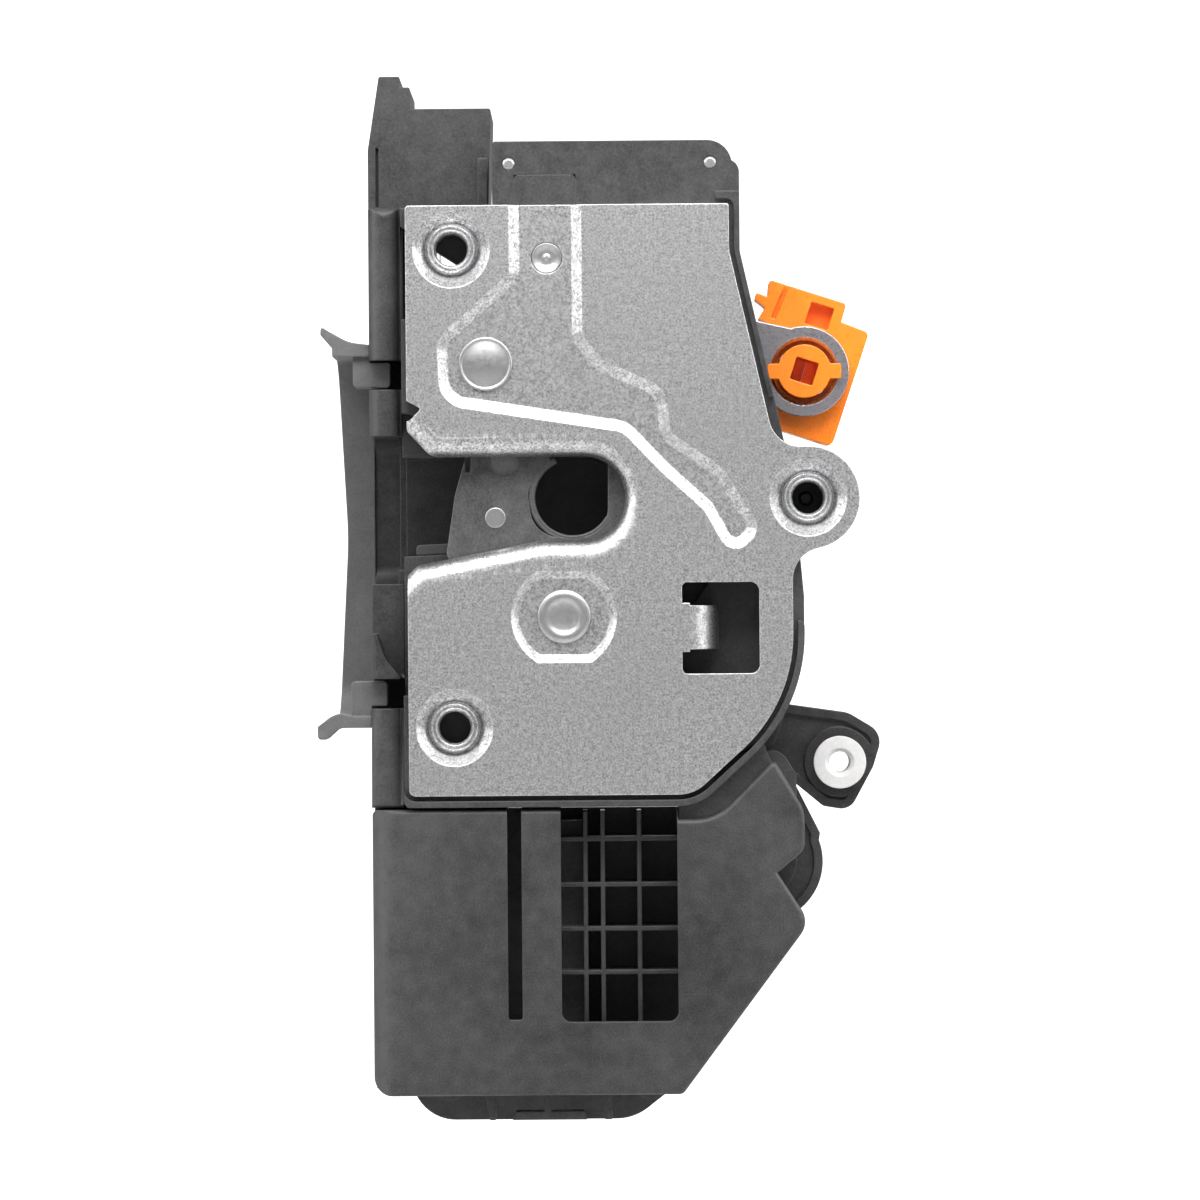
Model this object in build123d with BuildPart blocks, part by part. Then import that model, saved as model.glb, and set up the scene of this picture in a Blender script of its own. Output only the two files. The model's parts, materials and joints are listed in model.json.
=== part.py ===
from build123d import *
from math import cos, hypot, pi, radians, sin
import os

os.makedirs("parts", exist_ok=True)

# Door latch actuator, in millimetres.
# X is right and Z is up when the face plate is looked at from the door edge.
# Y grows into the depth, and the front of the face plate is Y = 0.
# The origin is the axis of the lower screw hole, on the front of the face plate.

# Clearances
move_gap = 0.4           # between a moving piece and what it passes
pivot_gap = 0.05         # radial, between a pivot and its bore

# Face plate
plate_t = 2.2            # thickness of the steel sheet
plate_left = -7.1
plate_bottom = -10.6
plate_top = 81.0
plate_top_right = 43.1
plate_shoulder_z = 73.7  # where the right edge starts to slope
plate_slope_x = 50.9     # end of the sloping edge, under the lobe
plate_slope_z = 39.5
plate_right = 52.6
plate_knee_z = 3.6
plate_foot_x = 37.0
lobe_r = 8.0             # ear round the right screw
lobe_blend_r = 5.0

# Screw seats in the face plate
screw_upper = (0.0, 74.2)
screw_lower = (0.0, 0.0)
screw_right = (55.1, 35.3)
screw_r = 2.5            # minor radius of the M6 thread
cone_r = 6.0             # countersink at the front
seat_r = 4.0             # flat ring at its foot
cone_depth = 2.0
collar_r = 4.6           # extruded collar that holds the thread
collar_end = 9.5

# Mouth for the striker
mouth_top = 42.05
mouth_bottom = 29.0
mouth_end = 26.75
mouth_left_bottom = 25.2
flange_t = 2.2
flange_depth = 5.0
lip_r = 3.0              # outside radius of the rolled lip

# Stamped channel round the pawl
channel_depth = 1.1
channel_left = 10.6
channel_right = 18.6

# Fork bolt and pawl
fork_at = (17.1, 17.1)
pawl_at = (5.2, 56.4)
rivet_r = 3.5            # shank of both pivot rivets
rivet_head_r = 4.2
fork_recess_r = 7.0
fork_recess_up = 5.9     # flats of the fork recess, above and below the pivot
rivet_head_t = 0.9
latch_front = 5.4        # front of the fork bolt and the pawl
latch_back = 10.6
skin_t = 1.1             # plastic over the steel core of the fork bolt
fork_hub_r = 9.5
fork_tooth_r = 30.5      # reach of the tooth that the pawl holds
pawl_hub_r = 6.0

# Small dimple in the channel
stud_at = (14.8, 72.8)
stud_r = 2.4

# Window in the face plate with its bent tab
window_left = 35.4
window_right = 47.4
window_bottom = 8.1
window_top = 22.3
window_r = 1.4
tab_left = 36.6
tab_right = 41.0
tab_bottom = 11.5
tab_top = 19.1
tab_depth = 7.5
tab_gap = 0.4

# Latch housing
rim_gap = 0.8            # slot between the face plate and the rim
rim_w = 1.0
rim_front = 0.2
housing_left = -7.9
housing_back = 17.0
wall_t = 2.0
head_left = 6.4
head_right = 44.8
head_top = 91.0
head_front = 2.2
head_step = 2.0          # the rear layer of the head starts this far behind its front
head_r = 3.9
head_pins = ((9.0, 87.5), (40.3, 87.5))
head_pin_r = 0.95
pouch_back = 25.0        # bottom of the mouth cavity
brace_x = 3.6            # open corner behind the upper screw
brace_low = 63.5
brace_high = 70.5
brace_rise = 0.645       # slope of the brace above it

# Back plate
back_plate_t = 2.0

# Outside release lever and rod clip
outside_pivot = (34.0, 60.5)
eye_at = (55.2, 55.5)
eye_r = 7.1
eye_bore_r = 4.9
release_front = 20.6
release_t = 2.4
release_pin_r = 3.0
clip_t = 7.5
clip_tilt = -18.0        # degrees, top of the clip leans to the left
barrel_r = 4.2
barrel_square = 3.7

# Front cover
cover_front = 0.6
cover_t = 2.2
cover_wall_t = 1.8
cover_left = -13.0
cover_bottom = -57.15
cover_top = -12.75
cover_back = 16.6
cover_lever_back = 12.0  # the walls are lower beside the lock lever
cover_boss_r = 2.0       # stop behind the cover that holds the lock lever in
ledge_w = 1.8            # ledge between the cover and the rim
ledge_step = 2.9         # its depth behind the front of the cover
slot_left = 8.0
slot_right = 10.2
slot_bottom = -45.4
pane_left = 16.3
pane_right = 34.4
pane_bottom = -45.8
pane_r = 1.5

# Rib lattice behind the window of the front cover
rib_t = 0.7
rib_front = 7.0
rib_x = (20.1, 22.8, 28.5)
rib_z = (-17.6, -24.7, -31.6, -38.4)

# Actuator case, behind the front cover
case_left = -7.6
case_front = 16.8
case_wall_t = 2.0
case_back = 46.0
case_lid_t = 2.0
case_belly_front = 20.0
case_belly_bottom = -62.2
case_bosses = ((-3.0, -18.0), (-1.6, -56.0), (30.0, -56.0), (22.0, -16.5))
boss_r = 3.0
boss_bore_r = 1.2

# Lock lever and its gears
lock_at = (47.7, -21.5)
lock_front = 12.4
lock_t = 4.0
lock_disc_r = 9.6
lock_shaft_r = 3.5
lever_room_r = 28.2      # kept free round the lock lever's pivot
bush_at = (60.0, -6.0)
bush_r = 4.1
bush_bore_r = 1.65
bush_front = 9.4
bush_back = 18.4
gear_module = 1.0
pinion_teeth = 8
wheel_teeth = 24
gear_t = 4.0
gear_bearing = 30.0      # degrees below the level, from the lock lever to the wheel
motor_bearing = 25.0     # degrees below the level, from the wheel to the motor
backlash = 0.28
motor_r = 10.0
motor_flat = 7.7
motor_shaft_r = 1.0
axle_r = 1.5
gear_front = 19.4        # front of the sector and of the small pinion
wheel_front = 24.0
pinion_pitch_r = gear_module * pinion_teeth / 2
wheel_pitch_r = gear_module * wheel_teeth / 2
gear_distance = pinion_pitch_r + wheel_pitch_r
wheel_at = (
    lock_at[0] - gear_distance * cos(radians(gear_bearing)),
    lock_at[1] - gear_distance * sin(radians(gear_bearing)),
)
motor_at = (
    wheel_at[0] - gear_distance * cos(radians(motor_bearing)),
    wheel_at[1] - gear_distance * sin(radians(motor_bearing)),
)

# Side case, the leg that runs into the door
side_left = -13.0
side_right = -5.0
side_lid_t = 1.6
side_front = 3.0
side_back = 80.0
side_top = 80.8
side_bottom = -57.0
mouth_gap_top = 45.4
mouth_gap_bottom = 22.4
mouth_gap_back = 31.0
claw_room_back = 12.5

# Connector
plug_left = -6.6
plug_right = 6.1
plug_front = 16.0
plug_back = 46.0
plug_bottom = 81.2
plug_top = 97.1
plug_tall = 102.2
plug_wall_t = 1.6

# Inside release lever
inside_at = (58.0, -18.0)     # depth and height of its pivot on the side case
inside_t = 2.0
inside_pin_r = 2.5
cable_eye = (74.0, -12.0)     # eye that the inside cable lifts
cable_r = 1.6                 # cable end, and the eye and bracket that hold it
cable_stand = 6.0             # distance of the cable from the side lid
push_tip = (54.0, 8.0)        # end of the arm that pushes towards the pawl
bracket_z = 24.0
bracket_w = 7.0
bracket_tall = 18.0

# Seal round the mouth, on the side face
seal_front = 6.0
seal_back = 32.2
seal_top = 59.7
seal_bottom = 0.0
seal_t = 1.8
seal_stand = 5.2


def at_depth(y):
    """Sketch plane that faces the viewer at depth y: its x is X and its y is Z."""
    return Plane.XZ.offset(-y)


def rounded(points_and_radii):
    """Closed outline through (x, z, corner radius) triples."""
    points = [(x, z) for x, z, _ in points_and_radii]
    radii = [r for _, _, r in points_and_radii]
    with BuildSketch() as outline:
        with BuildLine():
            FilletPolyline(*points, radius=radii, close=True)
        make_face()
    return outline.sketch


def grown(profile, amount):
    """The same outline moved outwards, or inwards when the amount is negative."""
    with BuildSketch() as outline:
        add(profile)
        offset(amount=amount, kind=Kind.ARC)
    return outline.sketch


def discs(radius, *centres):
    """Round profiles of one radius."""
    with BuildSketch() as outline:
        with Locations(*centres):
            Circle(radius)
    return outline.sketch


def hull_of(*circles):
    """Outline stretched round (x, z, radius) circles."""
    with BuildSketch() as outline:
        for x, z, r in circles:
            with Locations((x, z)):
                Circle(r)
        make_hull()
    return outline.sketch


def slab(profile, y_front, y_back, mode=Mode.ADD):
    """Extrude a front view profile between two depths, in the part being built."""
    with BuildSketch(at_depth(y_back)) as face:
        add(profile)
    extrude(face.sketch, amount=y_back - y_front, dir=(0, -1, 0), mode=mode)


def turned(points, centre, mode=Mode.ADD):
    """Revolve (radius, depth) points round the Y direction through a centre."""
    x, z = centre
    with BuildSketch(Plane(origin=(x, 0, z), x_dir=(1, 0, 0), z_dir=(0, 0, 1))) as face:
        with BuildLine():
            Polyline(*points, close=True)
        make_face()
    revolve(face.sketch, axis=Axis((x, 0, z), (0, 1, 0)), mode=mode)


def toothed(teeth, module, turn, play, spread=360.0):
    """Spur gear outline with straight flanks; turn is the angle of its first tooth."""
    pitch_r = teeth * module / 2
    root_r = pitch_r - 1.15 * module
    tip_r = pitch_r + 0.8 * module
    root_half = (0.25 * pi * module + 0.25 * module - play / 2) / root_r
    tip_half = (0.25 * pi * module - 0.30 * module - play / 2) / tip_r
    step = 2 * pi / teeth
    points = []
    for i in range(round(teeth * spread / 360)):
        middle = radians(turn) + i * step
        for r, a in ((root_r, -root_half), (tip_r, -tip_half), (tip_r, tip_half), (root_r, root_half)):
            points.append((r * cos(middle + a), r * sin(middle + a)))
    if spread < 360:
        points.append((0, 0))
    with BuildSketch() as outline:
        with BuildLine():
            Polyline(*points, close=True)
        make_face()
    return outline.sketch


def side_slab(profile, x_left, x_right, mode=Mode.ADD):
    """Extrude a (depth, height) profile between two X values, in the part being built."""
    with BuildSketch(Plane.YZ.offset(x_right)) as face:
        add(profile)
    extrude(face.sketch, amount=x_right - x_left, dir=(-1, 0, 0), mode=mode)


def block_outline(wide, tall):
    """Rectangle about the origin."""
    with BuildSketch() as outline:
        Rectangle(wide, tall)
    return outline.sketch


def coil(name, centre, coil_r, wire, y_front, turns):
    """Torsion spring of square wire round a pin that runs into the depth."""
    x, z = centre
    with BuildPart() as spring:
        rise = wire * 1.25
        with BuildLine() as path:
            Helix(
                pitch=rise,
                height=rise * turns,
                radius=coil_r,
                center=(x, y_front + wire / 2, z),
                direction=(0, 1, 0),
            )
        with BuildSketch(path.line ^ 0):
            Rectangle(wire, wire)
        sweep(is_frenet=True)
    spring.part.label = name
    export_step(spring.part, "parts/" + name + ".step")


def moved(profile, centre, turn=0.0):
    """A profile drawn about its own origin, turned and placed at a centre."""
    return Pos(centre[0], centre[1]) * Rot(0, 0, turn) * profile


# Shared outlines

with BuildSketch() as plate_sketch:
    with BuildLine():
        FilletPolyline(
            (plate_left, plate_bottom),
            (plate_left, plate_top),
            (plate_top_right, plate_top),
            (plate_top_right, plate_shoulder_z),
            (plate_slope_x, plate_slope_z),
            (plate_right, screw_right[1] - lobe_r / 2),
            (plate_right, plate_knee_z),
            (plate_foot_x, plate_bottom),
            radius=(1.0, 0.6, 0.4, 3.0, 0, 0, 24.0, 6.0),
            close=True,
        )
    make_face()
    with Locations(screw_right):
        Circle(lobe_r)
    lobe_corners = (
        plate_sketch.vertices()
        .filter_by(lambda v: hypot(v.X - screw_right[0], v.Y - screw_right[1]) < lobe_r + 0.1)
        .filter_by(lambda v: v.X < screw_right[0] - 0.3)
    )
    fillet(lobe_corners, radius=lobe_blend_r)
plate_outline = plate_sketch.sketch

mouth_outline = rounded((
    (plate_left - 6, mouth_top + 4.2, 0),
    (plate_left - 0.2, mouth_top + 4.2, 1.0),
    (plate_left + 3.7, mouth_top, 3.0),
    (mouth_end, mouth_top, 6.4),
    (mouth_end, mouth_bottom, 6.4),
    (mouth_end - 13.0, mouth_bottom, 12.0),
    (plate_left + 1.5, mouth_left_bottom, 1.2),
    (plate_left - 0.5, mouth_left_bottom - 2.0, 0),
    (plate_left - 6, mouth_left_bottom - 2.0, 0),
))

channel_outline = rounded((
    (channel_left, plate_top + 4, 0),
    (channel_left, 69.6, 3.0),
    (pawl_at[0] - 5.9, pawl_at[1] + 3.2, 3.0),
    (pawl_at[0] - 5.6, pawl_at[1] - 4.8, 3.0),
    (27.2, mouth_top + 5.25, 5.0),
    (33.4, 40.8, 3.0),
    (40.2, 34.6, 4.0),
    (43.6, 28.6, 1.0),
    (45.7, 30.6, 1.0),
    (40.6, 38.9, 5.0),
    (32.2, 44.6, 2.5),
    (31.6, 51.3, 3.0),
    (22.5, 55.3, 4.0),
    (channel_right, 60.0, 4.0),
    (channel_right, plate_top + 4, 0),
))

with BuildSketch() as fork_recess_sketch:
    with Locations(fork_at):
        Circle(fork_recess_r)
        Rectangle(2 * fork_recess_r, 2 * fork_recess_up, mode=Mode.INTERSECT)
fork_recess = fork_recess_sketch.sketch

# The housing follows the plate without its lobe, one gap and one rim further out
housing_edge = rim_gap + rim_w
housing_outline = rounded((
    (housing_left, plate_bottom - housing_edge, 1.0),
    (housing_left, plate_top - 0.2, 0),
    (head_left, plate_top - 0.2, 0),
    (head_left, head_top - 3, 0),
    (head_right, head_top - 3, 2.0),
    (head_right, plate_shoulder_z, 3.0),
    (plate_slope_x - 0.7, 50.0, 6.0),
    (plate_right + 0.2, 38.0, 6.0),
    (plate_right + housing_edge, 20.0, 3.0),
    (plate_right + housing_edge, plate_knee_z - 0.75, 24.0 + housing_edge),
    (plate_foot_x + 0.75, plate_bottom - housing_edge, 6.0 + housing_edge),
))


# Face plate: drawn mouth lip, stamped channel, extruded screw collars and a window

with BuildPart() as face_plate:
    slab(plate_outline, 0, plate_t)
    slab(grown(channel_outline, 0.5) & plate_outline, plate_t, plate_t + channel_depth)
    slab(grown(fork_recess, 0.8), plate_t, plate_t + channel_depth)
    slab((grown(mouth_outline, flange_t) & plate_outline), plate_t, flange_depth)
    for centre in (screw_upper, screw_lower, screw_right):
        turned(
            ((0, plate_t), (cone_r + 0.9, plate_t), (collar_r, cone_depth + plate_t),
             (collar_r, collar_end), (0, collar_end)),
            centre,
        )
    slab(mouth_outline, 0, flange_depth, mode=Mode.SUBTRACT)
    lip_edges = (
        face_plate.edges()
        .filter_by_position(Axis.Y, -0.01, 0.01)
        .filter_by_position(Axis.X, plate_left + 1.2, mouth_end + 0.1)
        .filter_by_position(Axis.Z, mouth_left_bottom - 0.1, mouth_top + 3.0)
    )
    fillet(lip_edges, radius=lip_r)
    relief = rounded((
        (plate_left - 2, 51.9, 0),
        (plate_left + 2.3, 49.5, 0.4),
        (plate_left + 0.5, 47.7, 0),
        (plate_left - 2, 47.0, 0),
    ))
    slab(relief, 0, flange_depth, mode=Mode.SUBTRACT)
    slab(channel_outline, 0, channel_depth, mode=Mode.SUBTRACT)
    slab(fork_recess, 0, channel_depth, mode=Mode.SUBTRACT)
    for centre in (screw_upper, screw_lower, screw_right):
        turned(
            ((0, -1), (cone_r + 1.0, -1), (cone_r, 0), (seat_r, cone_depth), (screw_r, cone_depth),
             (screw_r, collar_end + 1), (0, collar_end + 1)),
            centre,
            mode=Mode.SUBTRACT,
        )
    slab(discs(rivet_r + pivot_gap, fork_at, pawl_at), 0, flange_depth, mode=Mode.SUBTRACT)
    slab(discs(stud_r + pivot_gap, stud_at), 0, flange_depth, mode=Mode.SUBTRACT)
    window = rounded((
        (window_left, window_bottom, 0.8),
        (window_left, window_top, 0.8),
        (window_right, window_top, window_r),
        (window_right, window_bottom, window_r),
    ))
    tab_root = rounded((
        (window_left - 1, tab_bottom, 0),
        (window_left - 1, tab_top, 0),
        (tab_left, tab_top, 0),
        (tab_left, tab_bottom, 0),
    ))
    slab(window - tab_root, 0, plate_t, mode=Mode.SUBTRACT)
    with BuildSketch(Plane.XY.offset(tab_bottom + tab_gap)) as tab_section:
        with BuildLine():
            Line((tab_left, 0), (tab_left, plate_t))
            ThreePointArc(
                (tab_left, plate_t),
                (tab_right - plate_t - 0.55, plate_t + 0.7),
                (tab_right - plate_t, tab_depth),
            )
            Line((tab_right - plate_t, tab_depth), (tab_right, tab_depth))
            ThreePointArc((tab_right, tab_depth), (tab_right - 1.3, 1.9), (tab_left, 0))
        make_face()
    extrude(amount=tab_top - tab_bottom - 2 * tab_gap)
face_plate.part.label = "face_plate"
export_step(face_plate.part, "parts/face_plate.step")


# Rivets

with BuildPart() as fork_rivet:
    head_y = channel_depth - rivet_head_t
    turned(
        ((0, head_y), (rivet_head_r - 0.5, head_y), (rivet_head_r, head_y + 0.4),
         (rivet_head_r, channel_depth), (rivet_r, channel_depth),
         (rivet_r, housing_back + back_plate_t), (rivet_r + 1.3, housing_back + back_plate_t),
         (rivet_r + 0.8, housing_back + back_plate_t + 1.2), (0, housing_back + back_plate_t + 1.2)),
        fork_at,
    )
fork_rivet.part.label = "fork_rivet"
export_step(fork_rivet.part, "parts/fork_rivet.step")

with BuildPart() as pawl_rivet:
    turned(
        ((0, head_y), (rivet_head_r - 0.5, head_y), (rivet_head_r, head_y + 0.4),
         (rivet_head_r, channel_depth), (rivet_r, channel_depth),
         (rivet_r, housing_back + back_plate_t), (rivet_r + 1.3, housing_back + back_plate_t),
         (rivet_r + 0.8, housing_back + back_plate_t + 1.2), (0, housing_back + back_plate_t + 1.2)),
        pawl_at,
    )
pawl_rivet.part.label = "pawl_rivet"
export_step(pawl_rivet.part, "parts/pawl_rivet.step")

with BuildPart() as plate_stud:
    turned(
        ((0, channel_depth + 0.5), (stud_r - 0.6, channel_depth + 0.2), (stud_r, channel_depth + 0.2),
         (stud_r, latch_back), (0, latch_back)),
        stud_at,
    )
plate_stud.part.label = "plate_stud"
export_step(plate_stud.part, "parts/plate_stud.step")


# Fork bolt: a steel core in a plastic skin, turning on its rivet

fork_profile = rounded((
    (-9.0, -3.4, 4.0),
    (-18.3, 9.6, 2.0),
    (-16.9, 19.0, 6.0),
    (-14.8, 26.3, 2.4),
    (-3.2, 27.6, 1.4),
    (-1.9, 24.6, 1.0),
    (-5.6, 19.6, 2.5),
    (-4.6, 12.4, 4.5),
    (6.9, 12.4, 4.5),
    (7.0, 24.0, 3.0),
    (8.6, 26.4, 0.8),
    (14.2, 23.2, 0.5),
    (15.9, 26.0, 0.5),
    (19.7, 23.3, 1.5),
    (18.6, 8.0, 6.0),
    (9.0, -3.4, 4.0),
)) + discs(fork_hub_r, (0, 0))
tooth_zone = rounded(((11.5, 20.4, 0), (14.9, 28.4, 0), (22.5, 26.5, 0), (20.0, 19.0, 0)))
fork_bore = discs(rivet_r + pivot_gap, (0, 0))
fork_core_profile = (grown(fork_profile, -skin_t) + (fork_profile & tooth_zone)) - fork_bore
skin_ports = (
    discs(2.2, (-9.2, 24.0)) + discs(1.1, (-10.7, 15.6))
    + rounded(((-15.3, 22.6, 0), (-15.3, 25.0, 0), (-14.4, 25.0, 0), (-14.4, 22.6, 0)))
)

with BuildPart() as fork_bolt:
    slab(moved(fork_core_profile, fork_at), latch_front + skin_t, latch_back - skin_t)
fork_bolt.part.label = "fork_bolt"
export_step(fork_bolt.part, "parts/fork_bolt.step")

with BuildPart() as fork_skin:
    slab(moved(fork_profile - fork_bore, fork_at), latch_front, latch_back)
    slab(moved(fork_core_profile, fork_at), latch_front + skin_t, latch_back - skin_t, mode=Mode.SUBTRACT)
    slab(moved(fork_profile & tooth_zone, fork_at), latch_front, latch_back, mode=Mode.SUBTRACT)
    slab(moved(skin_ports, fork_at), latch_front, latch_front + skin_t, mode=Mode.SUBTRACT)
fork_skin.part.label = "fork_skin"
export_step(fork_skin.part, "parts/fork_skin.step")


# Pawl: its arm runs in compression from the pivot to the tooth of the fork bolt

pawl_reach = 28.0
pawl_angle = -26.2
pawl_pin_at = (9.5, 2.5)     # pin for the release levers, along and across the arm
pawl_pin_r = 2.2
pawl_arm = rounded((
    (0.0, pawl_hub_r, 0),
    (12.0, 6.0, 4.0),
    (pawl_reach - 0.4, 3.4, 0.8),
    (pawl_reach, -0.3, 0.3),
    (24.0, -0.2, 2.0),
    (15.5, -2.4, 3.0),
    (0.0, -pawl_hub_r, 0),
))
pawl_profile = (pawl_arm + discs(pawl_hub_r, (0, 0))) - discs(rivet_r + pivot_gap, (0, 0))

with BuildPart() as pawl:
    slab(moved(pawl_profile, pawl_at, pawl_angle), latch_front, latch_back)
    slab(moved(discs(pawl_pin_r, pawl_pin_at), pawl_at, pawl_angle), latch_back, release_front + release_t)
pawl.part.label = "pawl"
export_step(pawl.part, "parts/pawl.step")


# Latch housing: tray for the fork bolt and the pawl, with the mouth pouch and the rim

latch_floor = latch_back + move_gap
swing_room = (
    discs(fork_tooth_r + 0.7, fork_at)
    & rounded((
        (housing_left - 6, 5.0, 0),
        (housing_left - 6, 52.0, 0),
        (fork_at[0] + 22.5, 52.0, 0),
        (fork_at[0] + 22.5, fork_at[1] + 5, 0),
        (fork_at[0] + 11.0, fork_at[1] - 11.0, 4.0),
        (fork_at[0] - 10.0, 5.0, 0),
    ))
) + discs(fork_hub_r + 1.2, fork_at)
pawl_room = hull_of(
    (pawl_at[0], pawl_at[1], pawl_hub_r + 0.8),
    (pawl_at[0] + 24.5, pawl_at[1] - 12.0, 5.5),
    (pawl_at[0] + 29.0, pawl_at[1] + 1.0, 5.0),
    (pawl_at[0] + 12.0, pawl_at[1] + 6.5, 3.5),
)
pin_sweep = hull_of(*[
    (pawl_at[0] + hypot(*pawl_pin_at) * cos(radians(a)),
     pawl_at[1] + hypot(*pawl_pin_at) * sin(radians(a)), pawl_pin_r + 0.8)
    for a in (-16, 0, 18)
])
open_corner = rounded((
    (housing_left - 1, brace_high + (brace_x - housing_left + 1) * brace_rise, 0),
    (brace_x, brace_high, 0.5),
    (brace_x, brace_low, 2.0),
    (housing_left - 1, brace_low, 0),
))
mouth_room = rounded((
    (housing_left - 6, mouth_top, 0),
    (mouth_end, mouth_top, 6.4),
    (mouth_end, mouth_bottom - 0.8, 6.4),
    (housing_left - 6, mouth_bottom - 2.6, 0),
))

spring_coil_r = 5.2
spring_pocket_r = spring_coil_r + 1.2
switch_outline = rounded(((22.0, -7.0, 0.4), (22.0, -0.6, 0.4), (34.8, -0.6, 0.4), (34.8, -7.0, 0.4)))
switch_front = plate_t + 0.3

with BuildPart() as latch_housing:
    slab(housing_outline, plate_t, housing_back)
    front_head = rounded((
        (head_left, plate_top + rim_gap, 0),
        (head_left, head_top, 0.6),
        (head_right - 1.1, head_top, head_r),
        (head_right - 1.1, plate_top + rim_gap, 0),
    ))
    slab(front_head, head_front, head_front + head_step)
    rim_band = rounded((
        (housing_left, 24.0, 0),
        (housing_left, plate_bottom - housing_edge, 1.0),
        (plate_foot_x + 0.75, plate_bottom - housing_edge, 6.0 + housing_edge),
        (plate_right + housing_edge, plate_knee_z - 0.75, 24.0 + housing_edge),
        (plate_right + housing_edge, 16.2, 0.9),
        (plate_right - 3.0, 16.2, 0),
        (plate_right - 3.0, 24.0, 0),
    ))
    strip = rounded((
        (plate_top_right - 2, 51.0, 0),
        (plate_top_right - 2, plate_top + 2, 0),
        (head_right, plate_top + 2, 0),
        (head_right, plate_shoulder_z, 3.0),
        (plate_slope_x - 1.0, 51.0, 0),
    ))
    plate_pocket = grown(plate_outline, rim_gap)
    slab(rim_band - plate_pocket, rim_front, plate_t)
    slab(strip - plate_pocket, plate_t - 0.8, plate_t)
    pouch_outer = rounded((
        (housing_left, mouth_top + wall_t, 0),
        (mouth_end + wall_t, mouth_top + wall_t, 8.4),
        (mouth_end + wall_t, mouth_bottom - 0.8 - wall_t, 8.4),
        (housing_left, mouth_bottom - 2.6 - wall_t, 0),
    ))
    slab(pouch_outer, housing_back, pouch_back + wall_t)
    slab(swing_room + pawl_room, plate_t, latch_floor, mode=Mode.SUBTRACT)
    slab(mouth_room, plate_t, pouch_back, mode=Mode.SUBTRACT)
    slab(grown(mouth_outline, flange_t + 0.4), plate_t, flange_depth + 0.3, mode=Mode.SUBTRACT)
    slab(grown(channel_outline, 0.8), plate_t, plate_t + channel_depth + 0.2, mode=Mode.SUBTRACT)
    slab(grown(fork_recess, 1.2), plate_t, plate_t + channel_depth + 0.2, mode=Mode.SUBTRACT)
    for centre in (screw_upper, screw_lower, screw_right):
        turned(
            ((0, 0), (cone_r + 1.3, plate_t), (collar_r + 0.5, cone_depth + plate_t + 0.4),
             (collar_r + 0.5, collar_end + 0.5), (0, collar_end + 0.5)),
            centre,
            mode=Mode.SUBTRACT,
        )
    slab(discs(rivet_r + pivot_gap, fork_at, pawl_at), plate_t, housing_back, mode=Mode.SUBTRACT)
    slab(discs(stud_r + pivot_gap, stud_at), plate_t, latch_back, mode=Mode.SUBTRACT)
    slab(discs(spring_pocket_r, fork_at, pawl_at), latch_floor + 1.6, housing_back, mode=Mode.SUBTRACT)
    slab(grown(switch_outline, 0.2), plate_t, latch_back + 0.7, mode=Mode.SUBTRACT)
    slab(pin_sweep, latch_floor, housing_back, mode=Mode.SUBTRACT)
    slab(open_corner, 0, housing_back, mode=Mode.SUBTRACT)
    slab(grown(window, 0.3), plate_t, 9.0, mode=Mode.SUBTRACT)
    slab(discs(head_pin_r + pivot_gap, *head_pins), 0, 9.0, mode=Mode.SUBTRACT)
    slab(discs(lever_room_r, lock_at), cover_lever_back, housing_back, mode=Mode.SUBTRACT)
latch_housing.part.label = "latch_housing"
export_step(latch_housing.part, "parts/latch_housing.step")


# Back plate: carries the tails of both rivets, open round the mouth pouch

with BuildPart() as back_plate:
    back_plate_y = housing_back + back_plate_t
    slab(rounded((
        (housing_left + 1.5, 8.0, 2.0),
        (housing_left + 1.5, 62.0, 2.0),
        (brace_x + 1.0, 63.0, 2.0),
        (channel_left, head_top - 4, 3.0),
        (head_right - 4, head_top - 4, 3.0),
        (head_right - 2, 68.0, 5.0),
        (plate_slope_x - 2, 46.0, 5.0),
        (plate_slope_x - 2, 12.0, 5.0),
        (30.0, 1.0, 4.0),
        (8.0, 1.0, 4.0),
    )), housing_back, back_plate_y)
    slab(grown(pouch_outer, move_gap), housing_back, back_plate_y, mode=Mode.SUBTRACT)
    slab(rounded((
        (housing_left - 2, mouth_bottom - 7, 0),
        (housing_left - 2, mouth_top + 4, 0),
        (mouth_end - 10, mouth_top, 0),
        (mouth_end - 10, mouth_bottom, 0),
    )), housing_back, back_plate_y, mode=Mode.SUBTRACT)
    slab(discs(rivet_r + pivot_gap, fork_at, pawl_at), housing_back, back_plate_y, mode=Mode.SUBTRACT)
    slab(discs(release_pin_r - 1 + pivot_gap, outside_pivot), housing_back, back_plate_y, mode=Mode.SUBTRACT)
    slab(pin_sweep, housing_back, back_plate_y, mode=Mode.SUBTRACT)
back_plate.part.label = "back_plate"
export_step(back_plate.part, "parts/back_plate.step")


# Rubber block under the striker, on the floor of the pouch

def pouch_floor(x):
    """Height of the sloping floor of the mouth pouch."""
    left, right = housing_left - 6, mouth_end
    return mouth_bottom - 2.6 + 1.8 * (x - left) / (right - left)


with BuildPart() as striker_bumper:
    bumper_left = housing_left + 1.9
    bumper_right = housing_left + 8.6
    slab(rounded((
        (bumper_left, pouch_floor(bumper_left) + 0.1, 0.3),
        (bumper_left, pouch_floor(bumper_left) + 1.7, 0.6),
        (bumper_right, pouch_floor(bumper_right) + 1.7, 0.6),
        (bumper_right, pouch_floor(bumper_right) + 0.1, 0.3),
    )), latch_floor + 0.2, pouch_back)
striker_bumper.part.label = "striker_bumper"
export_step(striker_bumper.part, "parts/striker_bumper.step")


# Steel pins in the head of the housing

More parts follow.
